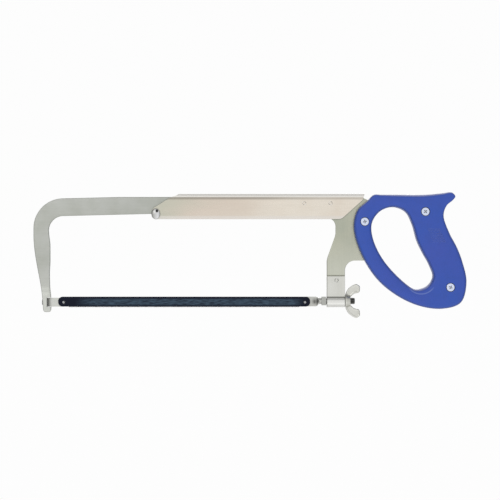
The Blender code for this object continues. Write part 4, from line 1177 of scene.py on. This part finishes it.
def forged_shoulder(start, neck, end):
    """Flat tab section that flows into the round neck."""
    middle_y = (TAB_FRONT_Y + TAB_BACK_Y) / 2.0
    half_y = (TAB_BACK_Y - TAB_FRONT_Y) / 2.0 - 0.05 * MM
    half_z = BOLT_TAB_HALF - 0.05 * MM
    rings = []
    for x in (start, *np.linspace(start + 1.0 * MM, neck, 8), end):
        flow = ease(x, start + 1.0 * MM, neck)
        ring = []
        for side in range(40):
            angle = 2.0 * pi * (side + 0.5) / 40
            across = cos(angle)
            up = sin(angle)
            reach = 1.0 / max(abs(across), abs(up))
            flat = Vector((middle_y + half_y * across * reach,
                           BOLT_TAB_Z + half_z * up * reach))
            round_point = Vector((BOLT_NECK_RADIUS * across, BOLT_Z + BOLT_NECK_RADIUS * up))
            point = flat.lerp(round_point, flow)
            ring.append((x, point.x, point.y))
        rings.append(ring)
    return skin("shoulder", rings)


def make_tension_bolt():
    """Blade tab, necked shoulder, square block and threaded shank."""
    into = 1.0 * MM
    shoulder_x = BOLT_NECK_X - 4.6 * MM
    tab = plate("tension_bolt", tab_outline(REAR_PIN.x - TAB_REACH, shoulder_x, BOLT_TAB_Z,
                                            BOLT_TAB_HALF), TAB_FRONT_Y, TAB_BACK_Y)
    neck = forged_shoulder(shoulder_x - into, BOLT_NECK_X, BOLT_BLOCK_X[0] + into)
    dimple = ball("dimple", 6.0 * MM,
                  (BOLT_NECK_X - 4.8 * MM, TAB_FRONT_Y - 5.2 * MM, BOLT_TAB_Z), 25, 48)
    stop = block("stop", (BOLT_BLOCK_X[0], -4.4 * MM, BOLT_Z - 5.3 * MM),
                 (BOLT_BLOCK_X[1], 4.4 * MM, BOLT_Z + 5.3 * MM))
    tools = [("DIFFERENCE", dimple), ("UNION", neck), ("UNION", stop),
             drill(REAR_PIN, PIN_RADIUS + GAP)]
    forged = evaluate(tab, tools=tools, bevel=0.45 * MM)
    thread = threaded_rod(BOLT_BLOCK_X[1] - into, BOLT_END_X)
    whole = evaluate(forged, tools=[("UNION", thread)])
    show("tension_bolt", whole, "thread")


def make_wing_nut():
    """Cast nut: tapered hub and two ears with thick rims, melted together and smoothed."""
    hub = turned("hub", rounded_outline([
        (NUT_BORE_RADIUS - 0.15 * MM, 0.0, 0.3 * MM), (8.1 * MM, 0.0, 0.5 * MM),
        (7.9 * MM, 1.4 * MM, 0.8 * MM), (6.3 * MM, NUT_HEIGHT, 0.7 * MM),
        (NUT_BORE_RADIUS - 0.15 * MM, NUT_HEIGHT, 0.3 * MM),
    ]), "X", (NUT_BASE_X, 0.0, BOLT_Z))
    solids = [hub]
    for side in (1.0, -1.0):
        corners = [(1.9, 5.4, 0.0), (1.9, 9.2, 1.5), (4.7, 14.5, 3.0), (9.3, 18.1, 4.0),
                   (13.8, 20.1, 2.0), (17.4, 17.7, 2.0), (16.8, 11.4, 2.0), (10.8, 10.3, 4.0),
                   (5.2, 5.6, 0.0)]
        ear = rounded_outline([
            (NUT_BASE_X + x * MM, BOLT_Z + side * r * MM, round_by * MM)
            for x, r, round_by in corners
        ])
        solids.append(plate("ear_web", ear, -0.85 * MM, 0.85 * MM))
        solids.append(tube_along("ear_rim", ear, 1.35 * MM))
    show("wing_nut", evaluate(joined("wing_nut", solids), remesh=0.27 * MM, relax=7))


# ---- handle

# (x, z, edge rounding) round the outside, from the top front corner over the horn
HANDLE_OUTSIDE = MM * np.array((
    (-78.5, 63.8, 2.5), (-70.0, 63.8, 3.0), (-49.7, 63.8, 4.5), (-18.0, 63.7, 5.0),
    (5.6, 65.6, 4.0), (17.6, 66.6, 2.5), (22.0, 61.8, 2.0), (18.8, 57.0, 1.8),
    (11.2, 50.3, 1.8), (7.5, 38.0, 3.0), (15.0, 16.0, 4.5), (23.8, -0.7, 4.5),
    (30.6, -18.4, 4.5), (36.0, -44.7, 4.5), (28.9, -69.9, 4.5), (4.8, -77.6, 4.5),
    (-31.1, -71.0, 4.5), (-70.3, -45.2, 4.5), (-94.3, -9.2, 4.5), (-103.6, 24.0, 4.5),
    (-98.9, 44.6, 4.0), (-86.6, 56.2, 3.0),
))

HAND_OPENING = MM * np.array((
    (-54.8, 48.6), (-39.4, 42.7), (-31.0, 27.0), (-25.2, 6.9), (-17.8, -8.5), (-9.9, -23.0),
    (-5.3, -38.0), (-12.3, -49.5), (-26.8, -53.6), (-38.6, -47.0), (-66.3, -18.2), (-79.9, 9.4),
    (-81.2, 28.5), (-71.2, 43.2),
))


def nearest_loop(outside, inside):
    """For each outer point, the inner curve's point that faces it, evenly spread."""
    count = len(inside)
    places = []
    for point in outside:
        gaps = np.linalg.norm(inside - point, axis=1)
        place = float(np.argmin(gaps))
        while places and place < places[-1] - count / 2.0:
            place += count
        places.append(max(place, places[-1]) if places else place)
    lap = np.array(places)
    reach = len(outside) // 42
    padded = np.concatenate((lap[-reach:] - count, lap, lap[:reach] + count))
    width = 2 * reach + 1
    evened = sum(padded[shift:shift + len(lap)] for shift in range(width)) / width
    closed = np.vstack((inside, inside, inside[:1]))
    steps = np.arange(len(closed))
    return np.column_stack([np.interp(evened % count, steps, closed[:, k]) for k in (0, 1)])


def loop_normals(curve):
    """Unit normals of a clockwise closed curve, pointing away from its inside."""
    along = np.roll(curve, -1, axis=0) - np.roll(curve, 1, axis=0)
    along /= np.linalg.norm(along, axis=1)[:, None]
    return np.column_stack((-along[:, 1], along[:, 0]))


def shell_sections(side):
    """Rings round the handle that together wrap one hollow half shell."""
    control = smooth_loop(HANDLE_OUTSIDE, 14)
    outer = control[:, :2]
    rounding = control[:, 2]
    inner = nearest_loop(outer, smooth_loop(HAND_OPENING, 80))
    outer_normal = loop_normals(outer)
    chord = outer - inner
    width = np.linalg.norm(chord, axis=1)
    chord /= width[:, None]
    meet = GAP / 2.0
    shoulder = GRIP_HALF - GRIP_CROWN
    quarter = [radians(90.0) * step / 7 for step in range(8)]
    rings = [(inner + chord * PARTING_CHAMFER, meet), (inner, meet + PARTING_CHAMFER)]
    for angle in quarter:
        inset = GRIP_EDGE * (1.0 - cos(angle))
        rings.append((inner + chord * inset, shoulder - GRIP_EDGE * (1.0 - sin(angle))))
    face_start = inner + chord * GRIP_EDGE
    face_end = outer - outer_normal * rounding[:, None]
    for step in range(1, 8):
        t = step / 8.0
        rings.append((face_start * (1.0 - t) + face_end * t,
                      GRIP_HALF - GRIP_CROWN * (2.0 * t - 1.0) ** 2))
    for angle in reversed(quarter):
        inset = rounding * (1.0 - cos(angle))
        rings.append((outer - outer_normal * inset[:, None],
                      shoulder - rounding * (1.0 - sin(angle))))
    rings.append((outer, meet + PARTING_CHAMFER))
    rings.append((outer - outer_normal * PARTING_CHAMFER, meet))
    wall = np.maximum(GRIP_WALL, width - GRIP_CAVITY)
    cavity_outer = outer - chord * wall[:, None]
    cavity_inner = inner + chord * GRIP_WALL
    floor = GRIP_HALF - GRIP_FACE
    rings += [(cavity_outer, meet), (cavity_outer, floor), (cavity_inner, floor),
              (cavity_inner, meet)]
    sections = []
    for place in range(len(outer)):
        section = []
        for points, level in rings:
            height = level[place] if isinstance(level, np.ndarray) else level
            section.append((points[place][0], side * height, points[place][1]))
        sections.append(section)
    return sections


def grip_ribs(side):
    """Fine level ribs moulded into the upper part of the grip."""
    ribs = []
    for index in range(9):
        z = (21.0 - 2.0 * index) * MM
        middle = (-5.0 + 0.85 * index) * MM
        half = (7.5 + 0.1 * index) * MM
        outline = rounded_outline([
            (middle - half, z - 0.55 * MM, 0.5 * MM), (middle + half, z - 0.55 * MM, 0.5 * MM),
            (middle + half, z + 0.55 * MM, 0.5 * MM), (middle - half, z + 0.55 * MM, 0.5 * MM),
        ])
        top = side * (GRIP_HALF + 0.22 * MM)
        root = side * (GRIP_HALF - 1.2 * MM)
        ribs.append(plate("rib", outline, min(top, root), max(top, root), 0.3 * MM))
    return joined("ribs", ribs)


def recess(side, radius, depth):
    """Stepped hole with a softened mouth, one at each handle bolt."""
    outside = side * CUT_REACH
    mouth = side * (GRIP_HALF - 0.05 * MM)
    hole = SCREW_RADIUS + GAP
    soft = 0.5 * MM
    profile = [(0.0, outside), (radius + soft + CUT_REACH * 0.4, outside),
               (radius + soft * 1.6, mouth + side * soft * 1.6), (radius + soft, mouth),
               (radius + soft * 0.3, mouth - side * soft * 0.3), (radius, mouth - side * soft),
               (radius, depth), (hole, depth), (hole, -outside), (0.0, -outside)]
    return joined("recesses", [turned("recess", profile, "Y", (c.x, 0.0, c.z), 48)
                               for c in HANDLE_BOLTS])


def make_shell(node, side, radius, depth):
    """Half handle with bosses, ribs, room for the leg plate, and its bolt recesses."""
    shell = skin(node, shell_sections(side), ends=False)
    floor = side * (GRIP_HALF - GRIP_FACE / 2.0)
    meet = side * GAP / 2.0
    bosses = joined("bosses", [rod("boss", BOSS_RADIUS, min(floor, meet), max(floor, meet), "Y",
                                   (c.x, 0.0, c.z)) for c in HANDLE_BOLTS])
    tang = plate("tang", offset_outline(leg_outline(), GAP), -BAR_HALF - GAP, BAR_HALF + GAP)
    tools = [("UNION", bosses), ("DIFFERENCE", tang), ("UNION", grip_ribs(side)),
             ("DIFFERENCE", recess(side, radius, depth))]
    show(node, evaluate(shell, tools=tools))


def make_screw(node, centre, turn):
    """Pan-head screw whose cross recess is turned by `turn`."""
    top, under = SCREW_HEAD_Y
    end = HEX_NUT_Y[1] - GAP
    profile = rounded_outline([
        (0.0, top, 0.0), (SCREW_HEAD_RADIUS - 0.5 * MM, top + 0.12 * MM, 0.8 * MM),
        (SCREW_HEAD_RADIUS, top + 0.9 * MM, 0.6 * MM), (SCREW_HEAD_RADIUS, under, 0.2 * MM),
        (SCREW_RADIUS, under, 0.0), (SCREW_RADIUS, end, 0.4 * MM), (0.0, end, 0.0),
    ])
    tools = []
    for quarter in range(2):
        spin = Matrix.Rotation(turn, 2) @ Matrix.Rotation(radians(90.0) * quarter, 2)
        rings = []
        for level, shrink in ((top - 1.0 * MM, 1.12), (top + 1.7 * MM, 0.62)):
            ring = [spin @ Vector((a * CROSS_HALF.x, b * CROSS_HALF.y)) * shrink
                    for a, b in ((-1, -1), (1, -1), (1, 1), (-1, 1))]
            rings.append([(p.x + centre.x, level, p.y + centre.z) for p in ring])
        tools.append(("DIFFERENCE", skin("cross", rings)))
    screw = turned(node, profile, "Y", (centre.x, 0.0, centre.z))
    show(node, evaluate(screw, tools=tools, bevel=0.1 * MM), "screw")


def make_hex_nut(node, centre):
    """Hexagon nut with chamfered corners and bore."""
    low, high = HEX_NUT_Y
    place = (centre.x, 0.0, centre.z)
    angles = [radians(60.0 * k + 30.0) for k in range(6)]
    corners = [Vector((centre.x + HEX_RADIUS * cos(t), centre.z + HEX_RADIUS * sin(t)))
               for t in angles]
    flat = HEX_RADIUS * cos(radians(30.0))
    wide = HEX_RADIUS + 0.1 * MM
    cone = turned("cone", [(0.0, low), (flat, low), (wide, low + 0.45 * MM),
                           (wide, high - 0.45 * MM), (flat, high), (0.0, high)], "Y", place)
    bore = turned("bore", [(0.0, low - 1.0 * MM), (2.8 * MM, low - 1.0 * MM),
                           (2.8 * MM, high - 0.3 * MM), (3.5 * MM, high + 0.4 * MM),
                           (0.0, high + 0.4 * MM)], "Y", place, 48)
    hexagon = plate(node, corners, low, high)
    show(node, evaluate(hexagon, tools=[("INTERSECT", cone), ("DIFFERENCE", bore)]))


# ---- stage and lighting

PAPER_WHITE = 0.982
VIEW_CENTRE = Vector((-232.35 * MM, 0.0, -4.68 * MM))
VIEW_WIDTH = 621.5 * MM
CAMERA_LENS = 150.0
LAMP_SIZE = 0.9
LAMP_POWER = 4.0
FLOOR_REACH = 30.0
FLOOR_Z = -0.42


def make_floor():
    """Plain white floor that is seen, but throws no light back on the saw."""
    shape = bmesh.new()
    corners = ((-1.0, -1.0), (1.0, -1.0), (1.0, 1.0), (-1.0, 1.0))
    shape.faces.new([shape.verts.new((x * FLOOR_REACH, y * FLOOR_REACH, FLOOR_Z))
                     for x, y in corners])
    floor = placed("floor", finish_mesh("floor", shape))
    paper = Look("floor_paper")
    grain = paper.cloud((3.0, 3.0, 3.0), 2.0, 0.5)
    tone = paper.mix(grain, (PAPER_WHITE, PAPER_WHITE, PAPER_WHITE), (0.985, 0.985, 0.985))
    paper.link(tone, paper.shader.inputs["Emission Color"])
    paper.constant(Base_Color=(0.0, 0.0, 0.0, 1.0), Roughness=1.0, Specular_IOR_Level=0.0,
                   Emission_Strength=1.0)
    floor.data.materials.append(paper.material)
    floor.visible_diffuse = False
    floor.visible_glossy = False


def make_room():
    """Bright front, back and table under a dim ceiling; seen directly, it is plain white.

    The dim ceiling and side walls are what outlines the saw's edges.
    """
    world = bpy.data.worlds.new("studio")
    world.use_nodes = True
    bpy.context.scene.world = world
    room = Nodes(world.node_tree)
    room.place = room.node("ShaderNodeTexCoord").outputs["Generated"]
    y = room.coordinate("Y")
    z = room.coordinate("Z")
    behind = room.maths("ADD", y, room.times(z, 0.5))
    glow = room.maths("ADD", room.remap(y, -0.35, -0.88, 0.38, 1.0),
                      room.remap(behind, 0.20, 0.80, 0.0, 0.60))
    glow = room.maths("ADD", glow, room.remap(z, -0.15, -0.80, 0.0, 0.50))
    walls = room.tree.nodes["Background"]
    walls.inputs["Color"].default_value = (1.0, 1.0, 1.0, 1.0)
    room.link(glow, walls.inputs["Strength"])
    seen = room.node("ShaderNodeBackground")
    seen.inputs["Color"].default_value = (PAPER_WHITE, PAPER_WHITE, PAPER_WHITE, 1.0)
    chosen = room.node("ShaderNodeMixShader")
    room.link(room.node("ShaderNodeLightPath").outputs["Is Camera Ray"], chosen.inputs["Fac"])
    room.link(walls.outputs["Background"], chosen.inputs[1])
    room.link(seen.outputs["Background"], chosen.inputs[2])
    room.link(chosen.outputs["Shader"], room.tree.nodes["World Output"].inputs["Surface"])


def softbox(name, place):
    """Square area light aimed at the middle of the saw."""
    data = bpy.data.lights.new(name, "AREA")
    data.size = LAMP_SIZE
    data.energy = LAMP_POWER
    lamp = placed(name, data)
    lamp.location = place
    lamp.rotation_euler = (VIEW_CENTRE - place).to_track_quat("-Z", "Y").to_euler()


def make_camera():
    data = bpy.data.cameras.new("camera")
    data.lens = CAMERA_LENS
    distance = VIEW_WIDTH * data.lens / data.sensor_width
    camera = placed("camera", data)
    camera.location = (VIEW_CENTRE.x, VIEW_CENTRE.y - distance, VIEW_CENTRE.z)
    camera.rotation_euler = (radians(90.0), 0.0, 0.0)
    bpy.context.scene.camera = camera


def main():
    make_camera()
    make_floor()
    make_room()
    bpy.context.scene.view_settings.view_transform = "Standard"
    softbox("front_light", VIEW_CENTRE + Vector((-0.9, -1.8, 0.7)))
    softbox("back_light", VIEW_CENTRE + Vector((0.7, 1.8, 0.8)))
    make_front_bow()
    make_front_stud()
    make_blade_pin("front_blade_pin", FRONT_PIN)
    make_blade_pin("rear_blade_pin", REAR_PIN)
    make_blade()
    make_spine()
    make_guide_rivet()
    make_flush_rivets()
    make_leg()
    make_sleeve()
    make_tension_bolt()
    make_wing_nut()
    make_shell("handle_left_shell", -1.0, SCREW_HEAD_RADIUS + 0.15 * MM, SCREW_HEAD_Y[1] + GAP)
    make_shell("handle_right_shell", 1.0, HEX_RADIUS + GAP, HEX_NUT_Y[0] - GAP)
    for number, centre in enumerate(HANDLE_BOLTS, 1):
        make_screw(f"handle_bolt_{number}", centre, radians(25.0 * number - 12.0))
        make_hex_nut(f"handle_nut_{number}", centre)


main()
